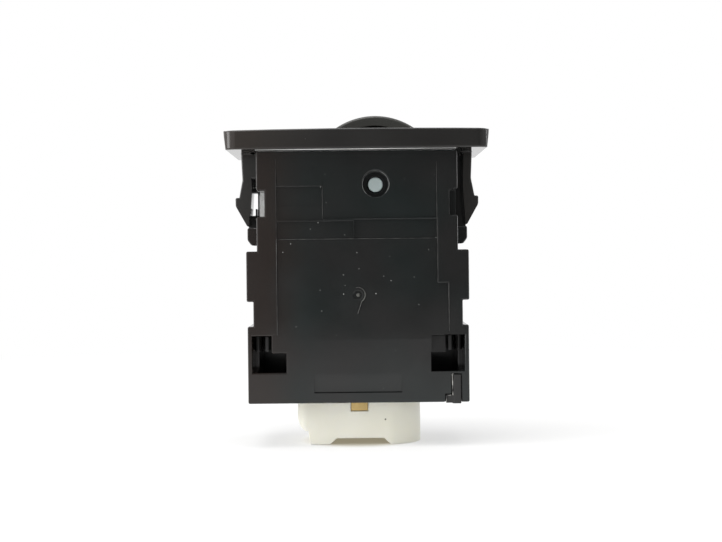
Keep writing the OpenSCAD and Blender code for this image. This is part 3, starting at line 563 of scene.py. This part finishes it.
def room_across(edge, face, rims, reach):
    """Least distance from an edge, straight across a face beside it, to the face's next rim. A rim
    counts where it lies about in the face's plane and isn't the edge itself."""
    itself, slope, step, parallel = 0.004, 0.25, 0.02, 1e-7
    loop = next(l for l in face.loops if l.edge == edge)
    begin = np.array(loop.vert.co)
    line = np.array(loop.link_loop_next.vert.co) - begin
    length = np.linalg.norm(line)
    if length < SHORTEST_EDGE:
        return reach
    line = line / length
    normal = np.array(face.normal)
    face_axes = np.stack([np.cross(normal, line), line, normal], axis=1)
    room = reach
    for share in (0.06, 0.3, 0.5, 0.7, 0.94):
        point = begin + line * (length * share)
        starts = (rims[0] - point) @ face_axes
        ends = (rims[1] - point) @ face_axes
        drop = starts[:, 1] - ends[:, 1]
        crossing = (starts[:, 1] * ends[:, 1] <= 0) & (np.abs(drop) > parallel)
        part = starts[:, 1] / np.where(crossing, drop, 1.0)
        aside = starts[:, 0] + part * (ends[:, 0] - starts[:, 0])
        above = starts[:, 2] + part * (ends[:, 2] - starts[:, 2])
        hits = aside[crossing & (aside > itself) & (np.abs(above) < slope * aside + step)]
        if hits.size:
            room = min(room, hits.min())
    return room


def follow_chain(edge, sharp, done):
    """The sharp edges that run on from one another without a corner."""
    chain = [edge]
    done.add(edge)
    for link in chain:
        for vert in link.verts:
            near = [e for e in vert.link_edges if e in sharp]
            if len(near) != 2:
                continue
            other = near[0] if near[1] == link else near[1]
            if other in done:
                continue
            a = (vert.co - link.other_vert(vert).co).normalized()
            b = (other.other_vert(vert).co - vert.co).normalized()
            if a.dot(b) > SAME_CHAIN:
                done.add(other)
                chain.append(other)
    return chain


def weigh_edges(mesh, radius, angle, share):
    """Gives each sharp edge a bevel weight that fits the narrowest face beside it."""
    bm = bmesh.new()
    bm.from_mesh(mesh)
    layer = bm.edges.layers.float.new("bevel_weight_edge")
    sharp = {e for e in bm.edges
             if len(e.link_faces) == 2 and e.calc_face_angle(0.0) > angle}
    group = flat_groups(bm, sharp)
    rims = {}
    for edge in sharp:
        for face in edge.link_faces:
            rims.setdefault(group[face], set()).add(edge)
    packed = {number: (np.array([e.verts[0].co for e in edges]),
                       np.array([e.verts[1].co for e in edges]))
              for number, edges in rims.items()}
    done = set()
    for first in sharp:
        if first in done:
            continue
        chain = follow_chain(first, sharp, done)
        members = set(chain)
        room = radius / share
        for edge in chain:
            for face in edge.link_faces:
                room = min(room, room_across(edge, face, packed[group[face]], room))
            for vert in edge.verts:
                for other in vert.link_edges:
                    if other in sharp and other not in members:
                        room = min(room, other.calc_length())
        weight = min(1.0, room * share / radius)
        if not first.is_convex:
            weight *= INNER_CORNER
        for edge in chain:
            edge[layer] = weight
    bm.to_mesh(mesh)
    bm.free()


def bevel_faults(piece, tree, reach):
    """Places where the bevelled surface folds over or leaves the part it started from."""
    shaped = piece.evaluated_get(bpy.context.evaluated_depsgraph_get())
    mesh = shaped.to_mesh()
    mesh.calc_loop_triangles()
    triangles = mesh.loop_triangles
    places = []
    normals = np.array([t.normal for t in triangles])
    owners = np.array([t.polygon_index for t in triangles])
    areas = np.array([t.area for t in triangles])
    faces = np.array([p.normal for p in mesh.polygons])
    lean = np.einsum("ij,ij->i", normals, faces[owners])
    for k in np.nonzero((lean < FOLDED) & (areas > SMALLEST_AREA))[0]:
        places += [mesh.vertices[v].co.copy() for v in triangles[k].vertices]
    for vertex in mesh.vertices:
        nearest, _, _, gap = tree.find_nearest(vertex.co)
        if nearest is None:
            places.append(vertex.co.copy())
        elif gap > reach:
            places += [vertex.co.copy(), nearest]
    shaped.to_mesh_clear()
    return places


def ease_weights(mesh, places, reach, factor):
    """Lowers the bevel weight of the edges that lie near the given places."""
    points = np.array([tuple(p) for p in places])
    weights = mesh.attributes["bevel_weight_edge"].data
    changed = 0
    for edge in mesh.edges:
        weight = weights[edge.index].value
        if weight <= 0.0:
            continue
        a = np.array(mesh.vertices[edge.vertices[0]].co)
        b = np.array(mesh.vertices[edge.vertices[1]].co)
        along = b - a
        part = np.clip((points - a) @ along / max(along @ along, SHORTEST_EDGE ** 2), 0.0, 1.0)
        gap = np.linalg.norm(points - (a + part[:, None] * along), axis=1)
        if gap.min() < reach:
            weights[edge.index].value = weight * factor
            changed += 1
    return changed


def ease_bevel(piece, bevel, node, radius, turns=7, halvings=4):
    """Lowers bevel weights until the bevel has no fault: by halves first, then to nothing."""
    farthest = 0.5 * radius
    nearby = 0.6 * radius
    deps = bpy.context.evaluated_depsgraph_get()
    bevel.show_viewport = False
    deps.update()
    tree = BVHTree.FromObject(piece, deps)
    bevel.show_viewport = True
    for turn in range(turns):
        deps.update()
        places = bevel_faults(piece, tree, farthest)
        if not places:
            break
        factor = 0.5 if turn < halvings else 0.0
        changed = ease_weights(piece.data, places, nearby, factor)
        piece.data.update()
        print(f"{node}: turn {turn}, {len(places)} faults, {changed} edges eased")


def blend_face(mesh, direction, tilt):
    """Shades the faces that lean less than the tilt from a direction as one polished face."""
    normals = [corner.vector.copy() for corner in mesh.corner_normals]
    for face in mesh.polygons:
        if face.normal.angle(direction) < tilt:
            for k in face.loop_indices:
                normals[k] = direction
    mesh.normals_split_custom_set(normals)


def rounded_copy(node, name, finish_name, radius, body="housing", angle=25.0, share=0.4,
                 segments=2, face=None, merge=0.0005):
    """Copies a CAD node, joins its loose triangles and rounds its edges; the finished piece stands
    for the node. The work is done in millimetres and the result put back in metres."""
    deselect()
    radius = radius / MM
    mesh = frame["nodes"][node].data.copy()
    mesh.name = name
    mesh.materials.clear()
    mesh.transform(Matrix.Scale(1.0 / MM, 4))
    piece = bpy.data.objects.new(name, mesh)
    bpy.context.collection.objects.link(piece)
    piece.select_set(True)
    bpy.context.view_layer.objects.active = piece
    if mesh.has_custom_normals:
        bpy.ops.mesh.customdata_custom_splitnormals_clear()
    bpy.ops.object.mode_set(mode="EDIT")
    bpy.ops.mesh.select_all(action="SELECT")
    bpy.ops.mesh.remove_doubles(threshold=merge)
    bpy.ops.mesh.dissolve_limited(angle_limit=math.radians(0.4))
    bpy.ops.object.mode_set(mode="OBJECT")
    weigh_edges(mesh, radius, math.radians(angle), share)
    bevel = piece.modifiers.new("rounded edges", "BEVEL")
    bevel.limit_method = "WEIGHT"
    bevel.width = radius
    bevel.segments = segments
    bevel.use_clamp_overlap = False
    bevel.loop_slide = False
    bevel.miter_outer = "MITER_SHARP"
    ease_bevel(piece, bevel, node, radius)
    points = np.array([v.co for v in mesh.vertices])
    low, high = points.min(axis=0), points.max(axis=0)
    bpy.ops.object.modifier_apply(modifier=bevel.name)
    # A bevel's mitre never stands out of the part it rounds
    for vertex in mesh.vertices:
        vertex.co = np.clip(np.array(vertex.co), low, high)
    bpy.ops.object.shade_smooth_by_angle(angle=math.radians(32))
    weigh = piece.modifiers.new("flat faces stay flat", "WEIGHTED_NORMAL")
    weigh.keep_sharp = True
    weigh.weight = 100
    bpy.ops.object.modifier_apply(modifier=weigh.name)
    if face is not None:
        blend_face(mesh, Vector(face), math.radians(6))
    mesh.transform(Matrix.Scale(MM, 4))
    mesh.update()
    finish_piece(piece, finish_name, body)
    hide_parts(node)


# Helpers of the operators

def deselect():
    if bpy.context.object and bpy.context.object.mode != "OBJECT":
        bpy.ops.object.mode_set(mode="OBJECT")
    bpy.ops.object.select_all(action="DESELECT")


def open_primitive(name, scale=(1, 1, 1)):
    """Names and scales the primitive that was just added, applies its place to its mesh, and opens
    it in edit mode with all of it selected."""
    piece = bpy.context.object
    piece.name = name
    piece.scale = scale
    bpy.ops.object.transform_apply(location=True, rotation=True, scale=True)
    bpy.ops.object.mode_set(mode="EDIT")
    bpy.ops.mesh.select_all(action="SELECT")
    return piece


def close_primitive(piece, smooth, scale=MM):
    """Leaves edit mode, brings the mesh to metres and smooths it up to an angle in degrees."""
    bpy.ops.object.mode_set(mode="OBJECT")
    piece.data.transform(Matrix.Scale(scale, 4))
    bpy.ops.object.shade_smooth_by_angle(angle=math.radians(smooth))


def point_outward():
    """Turns all faces of the mesh in edit mode outward."""
    bpy.ops.mesh.select_all(action="SELECT")
    bpy.ops.mesh.normals_make_consistent(inside=False)


def spun_bead(name, radius, start, rotation, centre, steps, sweep, tail=()):
    """A thin round bead on an arc about the Y axis through centre, clockwise for the camera; tail
    holds the straight moves with which it runs on. Lengths are in millimetres, sweep in degrees."""
    deselect()
    bpy.ops.mesh.primitive_circle_add(vertices=8, radius=radius, fill_type="NGON", location=start,
                                      rotation=rotation)
    piece = open_primitive(name)
    bpy.ops.mesh.spin(steps=steps, angle=-math.radians(sweep), center=centre, axis=(0, 1, 0))
    for move in tail:
        bpy.ops.mesh.extrude_region_move(TRANSFORM_OT_translate={"value": move})
    bpy.ops.mesh.select_all(action="SELECT")
    bpy.ops.mesh.remove_doubles(threshold=0.001)
    point_outward()
    close_primitive(piece, 50)
    return piece


def finish_piece(piece, finish_name, body="housing"):
    """Dresses a piece and hangs it on its body."""
    dress(piece, finish_name)
    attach(piece, body)


# Operators, one for each piece or group of like pieces

class SWITCH_OT_housing(bpy.types.Operator):
    """Rounds the edges of the two halves of the housing"""
    bl_idname = "switch.housing"
    bl_label = "Housing halves"

    def execute(self, context):
        radius = sizes().housing_edge
        rounded_copy("case_front", "housing_front", "housing black", radius,
                     share=0.47, face=(0, -1, 0))
        # The rear half's black is painted lighter: painted light in the windows
        rounded_copy("case_rear", "housing_rear", "rear painted lighter black", radius)
        return {"FINISHED"}


class SWITCH_OT_bezel(bpy.types.Operator):
    """Rounds the bezel with its snap arms"""
    bl_idname = "switch.bezel"
    bl_label = "Bezel"

    def execute(self, context):
        rounded_copy("bezel", "bezel_moulding", "bezel black",
                     sizes().bezel_edge, segments=3, merge=0.04)
        return {"FINISHED"}


class SWITCH_OT_window(bpy.types.Operator):
    """Rounds the milky lens and the clear light guide"""
    bl_idname = "switch.window"
    bl_label = "Lens and light guide"

    def execute(self, context):
        rounded_copy("symbol_lens", "window_lens", "milky lens",
                     sizes().socket_edge)
        rounded_copy("light_guide", "clear_guide", "frosted guide",
                     sizes().metal_edge)
        return {"FINISHED"}


class SWITCH_OT_film(bpy.types.Operator):
    """Models the overhanging lips of the guide's thin plate, which show as a line under the bezel;
    their pale cut edges are painted light, for the light seen through the gap there
    """
    bl_idname = "switch.film"
    bl_label = "Lips of the guide's plate"

    def execute(self, context):
        low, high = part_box("light_guide")
        height = HOUSING_TOP + 0.135 * MM
        overhang = sizes().lip_overhang
        overlap = 0.2 * MM
        for name, side, start in (("plate_lip_front", -1, low.y), ("plate_lip_back", 1, high.y)):
            deselect()
            bpy.ops.mesh.primitive_cube_add(size=1.0, location=(
                (low.x + high.x) / 2, start + side * (overhang - overlap) / 2, height))
            piece = open_primitive(
                name, (high.x - low.x, overhang + overlap, sizes().lip_thickness))
            bpy.ops.mesh.bevel(offset=0.02 * MM, segments=2, affect="EDGES")
            close_primitive(piece, 40, scale=1.0)
            finish_piece(piece, "plate lip painted light")
        return {"FINISHED"}


class SWITCH_OT_wheel(bpy.types.Operator):
    """Rounds the thumbwheel's rims and grip ribs"""
    bl_idname = "switch.wheel"
    bl_label = "Thumbwheel"

    def execute(self, context):
        rounded_copy("thumbwheel", "grip_wheel", "wheel black",
                     sizes().wheel_edge, body="wheel", angle=20.0)
        return {"FINISHED"}


class SWITCH_OT_numbers(bpy.types.Operator):
    """Prints the settings round the wheel's plain band"""
    bl_idname = "switch.numbers"
    bl_label = "Wheel numbers"

    def execute(self, context):
        count = sizes().number_count
        for k in range(count):
            piece = self.flat_number(k)
            self.wrap_on_band(piece.data, -math.radians(WHEEL_STOP / (count - 1) * k))
            finish_piece(piece, "number print", body="wheel")
        return {"FINISHED"}

    def flat_number(self, number):
        """A number as a mesh in millimetres, flat and cut fine enough to bend."""
        deselect()
        bpy.ops.object.text_add(location=(0, 0, 0))
        text = bpy.context.object.data
        text.body = str(number)
        # A text's size is 1.38 times the height of its figures
        text.size = sizes().number_height / MM * 1.38
        text.align_x = "CENTER"
        text.align_y = "CENTER"
        text.extrude = sizes().number_proud / MM
        text.resolution_u = 6
        bpy.ops.object.convert(target="MESH")
        piece = open_primitive(f"wheel_number_{number}")
        bpy.ops.mesh.remove_doubles(threshold=0.001)
        bpy.ops.mesh.quads_convert_to_tris()
        bpy.ops.mesh.subdivide(number_cuts=1)
        bpy.ops.object.mode_set(mode="OBJECT")
        return piece

    def wrap_on_band(self, mesh, turn):
        """Bends a flat number round the wheel's band, at an angle from the wheel's top."""
        band_middle = 2.45 * MM
        band_radius = WHEEL_RADIUS - 0.3 * MM
        middle = sum(v.co.x for v in mesh.vertices) / len(mesh.vertices)
        for vertex in mesh.vertices:
            x, y, z = vertex.co
            angle = turn + (x - middle) * MM / band_radius
            reach = band_radius + z * MM
            vertex.co = (HINGE.x + reach * math.sin(angle), band_middle + y * MM,
                         HINGE.z + reach * math.cos(angle))
        mesh.update()


class SWITCH_OT_socket(bpy.types.Operator):
    """Rounds the white socket and its brass terminals"""
    bl_idname = "switch.socket"
    bl_label = "Plug socket"

    def execute(self, context):
        rounded_copy("connector_shell", "socket_moulding", "milky nylon",
                     sizes().socket_edge)
        for k in range(1, 6):
            rounded_copy(f"terminal_{k}", f"brass_terminal_{k}",
                         "terminal brass", sizes().metal_edge)
        return {"FINISHED"}


class SWITCH_OT_axle(bpy.types.Operator):
    """Rounds the axle's cut end, which shows in the counterbore"""
    bl_idname = "switch.axle"
    bl_label = "Axle"

    def execute(self, context):
        rounded_copy("axle_pin", "steel_axle", "axle steel", sizes().metal_edge)
        return {"FINISHED"}


class SWITCH_OT_mould_lines(bpy.types.Operator):
    """Models the thin lines that the mould's inserts left, and a line along the latch finger's edge;
    their pale crests are painted highlights
    """
    bl_idname = "switch.mould_lines"
    bl_label = "Mould lines"

    def execute(self, context):
        # Places in millimetres: the wide panel's sides and lower edge, its pocket, the finger
        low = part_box("case_front")[0] / MM
        face_y = low.y
        panel_y = face_y + 0.3
        left, right, waist = -11.62, 11.47, 30.0
        pocket_side, pocket_foot, pocket_top = -4.97, 32.9, 37.62
        finger_edge_x, finger_edge_y = 13.43, face_y - 0.03
        # Each line: its two ends as X and Z, its depth Y and its share of the width
        panel_lines = (
            ((left, waist), (left, 16.2), face_y, 1.0),
            ((left, 41.6), (left, waist), face_y, 0.45),
            ((left + 0.02, waist - 0.02), (right - 0.02, waist - 0.02), panel_y, 0.8),
            ((left + 0.02, pocket_top), (pocket_side + 0.02, pocket_top), face_y, 0.5),
            ((pocket_side, pocket_foot), (pocket_side, pocket_top - 0.02), face_y, 0.6),
            ((-0.5, waist), (-0.5, pocket_foot), panel_y + 0.02, 0.6),
            ((right, 23.6), (right, 41.0), face_y, 0.6),
            ((13.07, 16.6), (13.07, 23.5), face_y, 1.0),
        )
        finger_lines = (
            ((finger_edge_x + 0.05, low.z + 1.0), (finger_edge_x, low.z + 3.95), finger_edge_y, 1.4),
            ((finger_edge_x - 0.15, low.z + 3.95), (finger_edge_x + 0.15, low.z + 4.05), finger_edge_y, 1.4),
            ((finger_edge_x - 0.9, low.z + 0.05), (finger_edge_x - 0.88, low.z + 0.85), finger_edge_y, 1.4),
            ((finger_edge_x - 0.85, low.z + 0.9), (finger_edge_x - 0.2, low.z + 1.0), finger_edge_y, 1.2),
        )
        for number, line in enumerate(panel_lines + finger_lines, 1):
            piece = self.raised_line(f"mould_line_{number}", *line)
            # Lines on the finger get the paler painted highlight
            torn = number > len(panel_lines)
            finish_piece(piece, "finger painted highlight" if torn else "worn edge")
        return {"FINISHED"}

    def raised_line(self, name, start, end, depth, share):
        """A thin round bar between two places on the near side, with its ends eased."""
        deselect()
        a = Vector((start[0], depth, start[1]))
        b = Vector((end[0], depth, end[1]))
        width = sizes().line_width / MM * share
        bpy.ops.mesh.primitive_cylinder_add(
            vertices=8, radius=width / 2, depth=(b - a).length, location=(a + b) / 2,
            rotation=(b - a).to_track_quat("Z", "Y").to_euler())
        piece = open_primitive(name)
        bpy.ops.mesh.bevel(offset=width * 0.15, segments=1, affect="EDGES")
        close_primitive(piece, 60)
        return piece


class SWITCH_OT_worn_rim(bpy.types.Operator):
    """Models a thin bead on the rim of the counterbore round the axle's end, open at its lower side,
    with a painted highlight in pale patches
    """
    bl_idname = "switch.worn_rim"
    bl_label = "Rim painted highlight"

    def execute(self, context):
        rim_radius, bead_radius = 1.9, 0.042
        centre = Vector((HINGE.x / MM, NEAR_FACE / MM + 0.18, HINGE.z / MM))
        # The angle of its start from the top, clockwise
        start = math.radians(-162)
        outward = Vector((math.sin(start), 0.0, math.cos(start)))
        along = Vector((math.cos(start), 0.0, -math.sin(start)))
        piece = spun_bead("worn_rim", bead_radius, centre + rim_radius * outward,
                          along.to_track_quat("Z", "Y").to_euler(), centre, steps=48, sweep=297)
        finish_piece(piece, "worn rim")
        return {"FINISHED"}


class SWITCH_OT_gate_mark(bpy.types.Operator):
    """Models the curled flow mark and the torn stub at the gate of the front housing half"""
    bl_idname = "switch.gate_mark"
    bl_label = "Gate mark"

    def execute(self, context):
        bead_radius = 0.075
        dimple = Vector((0.0, NEAR_FACE / MM + 0.2, 21.9))
        curl = spun_bead("gate_flow_mark", bead_radius, dimple + Vector((-0.3, 0.0, 1.02)),
                         (0, math.radians(90), 0), dimple, steps=14, sweep=165,
                         tail=((-0.3, 0.0, -0.9), (-0.3, 0.06, -0.9)))
        stub = self.stub(dimple + Vector((0.05, 0.4, 0.0)))
        # Both pieces get pale patches on their crests, a painted highlight
        for piece in (curl, stub):
            finish_piece(piece, "gate painted highlight")
        return {"FINISHED"}

    def stub(self, root):
        """The torn stub of the gate, which stands up from its root in the dimple."""
        deselect()
        bpy.ops.mesh.primitive_circle_add(vertices=16, radius=0.3, fill_type="NGON", location=root,
                                          rotation=(math.radians(90), 0, 0))
        piece = open_primitive("gate_stub")
        for rise, narrowing in ((0.16, 0.85), (0.12, 0.7), (0.05, 0.4)):
            bpy.ops.mesh.extrude_region_move(TRANSFORM_OT_translate={"value": (0.0, -rise, 0.0)})
            bpy.ops.transform.resize(value=(narrowing,) * 3)
        point_outward()
        close_primitive(piece, 60)
        return piece


class SWITCH_OT_inner_parts(bpy.types.Operator):
    """Gives the parts inside the housing their materials"""
    bl_idname = "switch.inner_parts"
    bl_label = "Inner parts"

    def execute(self, context):
        finishes = {
            "wiper_contact": "contact brass", "friction_spring": "spring steel",
            "circuit_board": "board green", "resistor_1": "chip black",
            "resistor_2": "chip black", "lamp_holder": "holder black",
            "lamp_bulb": "bulb glass", "lamp_leads": "tinned wire", "solder_joints": "solder"}
        for node, finish_name in finishes.items():
            dress(frame["nodes"][node], finish_name)
        return {"FINISHED"}


class SWITCH_OT_stage(bpy.types.Operator):
    """Lays out the floor, the soft lights, the world and the camera"""
    bl_idname = "switch.stage"
    bl_label = "Studio"

    def execute(self, context):
        self.make_floor()
        self.make_world()
        self.make_light("softbox_top", (-0.10, -0.14, 0.60), (0.4, 0.4), 1.7)
        self.make_light("softbox_left", (-0.55, -0.16, 0.19), (0.32, 0.42), 2.3)
        self.make_light("softbox_right", (0.60, 0.08, 0.19), (0.08, 0.42), 0.6)
        self.make_camera()
        return {"FINISHED"}

    def make_floor(self):
        """A pale table that runs from behind the camera far back, just under the socket's rim."""
        size = 6.0
        near_edge = -0.209
        deselect()
        bpy.ops.mesh.primitive_grid_add(x_subdivisions=4, y_subdivisions=4, size=size,
                                        location=(0, near_edge + size / 2, -0.02 * MM))
        floor = bpy.context.object
        floor.name = "pale_table"
        bpy.ops.object.transform_apply(location=True, rotation=False, scale=False)
        material, tree, shader, where = new_material("pale table")
        cloud = noise(tree, where, 6.0).outputs["Fac"]
        feed(tree, shader, {
            "Base Color": blend_colours(tree, cloud, (0.93, 0.93, 0.925), (0.95, 0.95, 0.945)),
            "Roughness": 0.7,
            "Specular IOR Level": 0.2})
        # Farther off, the table's own shading gives way to plain white
        away = vector_maths(tree, "LENGTH", where).outputs["Value"]
        far = remap(tree, away, 0.06, 0.2, 0.5, 1.0)
        # In the socket's mouth the table gets a painted warm shade
        beyond_painted_shade = remap(tree, away, 0.006, 0.009)
        plain = add(tree, "ShaderNodeEmission", {
            "Color": blend_colours(tree, beyond_painted_shade, (0.53, 0.47, 0.33), (1.0, 1.0, 1.0)),
            "Strength": 1.0})
        seen = maths(tree, "MAXIMUM", *seen_directly(tree))
        blend = add(tree, "ShaderNodeMixShader", {
            0: maths(tree, "MULTIPLY", far, seen), 1: shader.outputs[0], 2: plain.outputs[0]})
        feed(tree, tree.nodes["Material Output"], {"Surface": blend.outputs[0]})
        floor.data.materials.append(material)

    def make_world(self):
        """White for the camera and plain for matt surfaces. Shiny ones see a dark room in front,
        low down and to the right of the middle."""
        world = bpy.data.worlds.new("white studio")
        bpy.context.scene.world = world
        world.use_nodes = True
        tree = world.node_tree
        direction = axes(tree, tree.nodes.new("ShaderNodeTexCoord").outputs["Generated"])
        left = remap(tree, direction[0], -0.02, -0.22)
        right = remap(tree, direction[0], 0.4, 0.9, 0.0, 0.45)
        above = remap(tree, direction[2], 0.25, 0.55)
        behind = remap(tree, direction[1], 0.15, 0.5)
        open_sky = maths(tree, "MAXIMUM", maths(tree, "MAXIMUM", left, right),
                         maths(tree, "MAXIMUM", above, behind))
        studio = remap(tree, open_sky, 0.0, 1.0, 0.12, 1.0)
        from_camera, sent_on = seen_directly(tree)
        soft = add(tree, "ShaderNodeMix", {
            MIX_FACTOR: sent_on, MIX_FIRST_NUMBER: 0.75, MIX_SECOND_NUMBER: studio},
            data_type="FLOAT").outputs[MIX_NUMBER_OUT]
        feed(tree, tree.nodes["Background"], {
            "Color": (1.0, 1.0, 1.0), "Strength": maths(tree, "MAXIMUM", from_camera, soft)})

    def make_light(self, name, place, size, power):
        """A soft lamp of the given width and height that faces the object's middle."""
        middle = Vector((0, 0, 0.02))
        lamp = bpy.data.lights.new(name, "AREA")
        lamp.shape = "RECTANGLE"
        lamp.size, lamp.size_y = size
        lamp.energy = power
        holder = bpy.data.objects.new(name, lamp)
        bpy.context.collection.objects.link(holder)
        holder.location = place
        aim = middle - Vector(place)
        holder.rotation_euler = aim.to_track_quat("-Z", "Y").to_euler()

    def make_camera(self):
        """Square on to the near side; focus, shift and roll come from the photo's pixels."""
        image_width = 722
        focus_pixels = 1339.5
        shift_pixels = (3.0, -15.0)
        roll = math.radians(0.62)
        distance, height = 201 * MM, 27.5 * MM
        camera = bpy.data.cameras.new("square_on_camera")
        holder = bpy.data.objects.new("square_on_camera", camera)
        bpy.context.collection.objects.link(holder)
        holder.location = (0.07 * MM, -distance, height)
        holder.rotation_euler = (math.radians(90), roll, 0)
        camera.sensor_width = 36.0
        camera.lens = focus_pixels / image_width * camera.sensor_width
        camera.shift_x = shift_pixels[0] / image_width
        camera.shift_y = shift_pixels[1] / image_width
        camera.clip_start = 0.01
        camera.clip_end = 20.0
        bpy.context.scene.camera = holder
        bpy.context.scene.view_settings.view_transform = "Standard"


STEPS = (
    SWITCH_OT_stage, SWITCH_OT_housing, SWITCH_OT_bezel, SWITCH_OT_window, SWITCH_OT_film,
    SWITCH_OT_wheel, SWITCH_OT_numbers, SWITCH_OT_socket, SWITCH_OT_axle, SWITCH_OT_mould_lines,
    SWITCH_OT_worn_rim, SWITCH_OT_gate_mark, SWITCH_OT_inner_parts,
)


class SWITCH_PT_panel(bpy.types.Panel):
    """Lists the switch's operators and values"""
    bl_idname = "SWITCH_PT_panel"
    bl_label = "Thumbwheel switch"
    bl_space_type = "VIEW_3D"
    bl_region_type = "UI"
    bl_category = "Switch"

    def draw(self, context):
        column = self.layout.column(align=True)
        for step in STEPS:
            column.operator(step.bl_idname)
        for group in (context.scene.switch_sizes, context.scene.switch_finish):
            box = self.layout.box().column(align=True)
            for name in group.__annotations__:
                box.prop(group, name)


CLASSES = (SwitchSizes, SwitchFinish) + STEPS + (SWITCH_PT_panel,)


def register():
    for item in CLASSES:
        bpy.utils.register_class(item)
    bpy.types.Scene.switch_sizes = PointerProperty(type=SwitchSizes)
    bpy.types.Scene.switch_finish = PointerProperty(type=SwitchFinish)


def unregister():
    del bpy.types.Scene.switch_finish
    del bpy.types.Scene.switch_sizes
    for item in reversed(CLASSES):
        bpy.utils.unregister_class(item)


def main():
    register()
    for step in STEPS:
        group, name = step.bl_idname.split(".")
        getattr(getattr(bpy.ops, group), name)()
    deselect()
    bpy.context.view_layer.update()


if __name__ == "__main__":
    main()
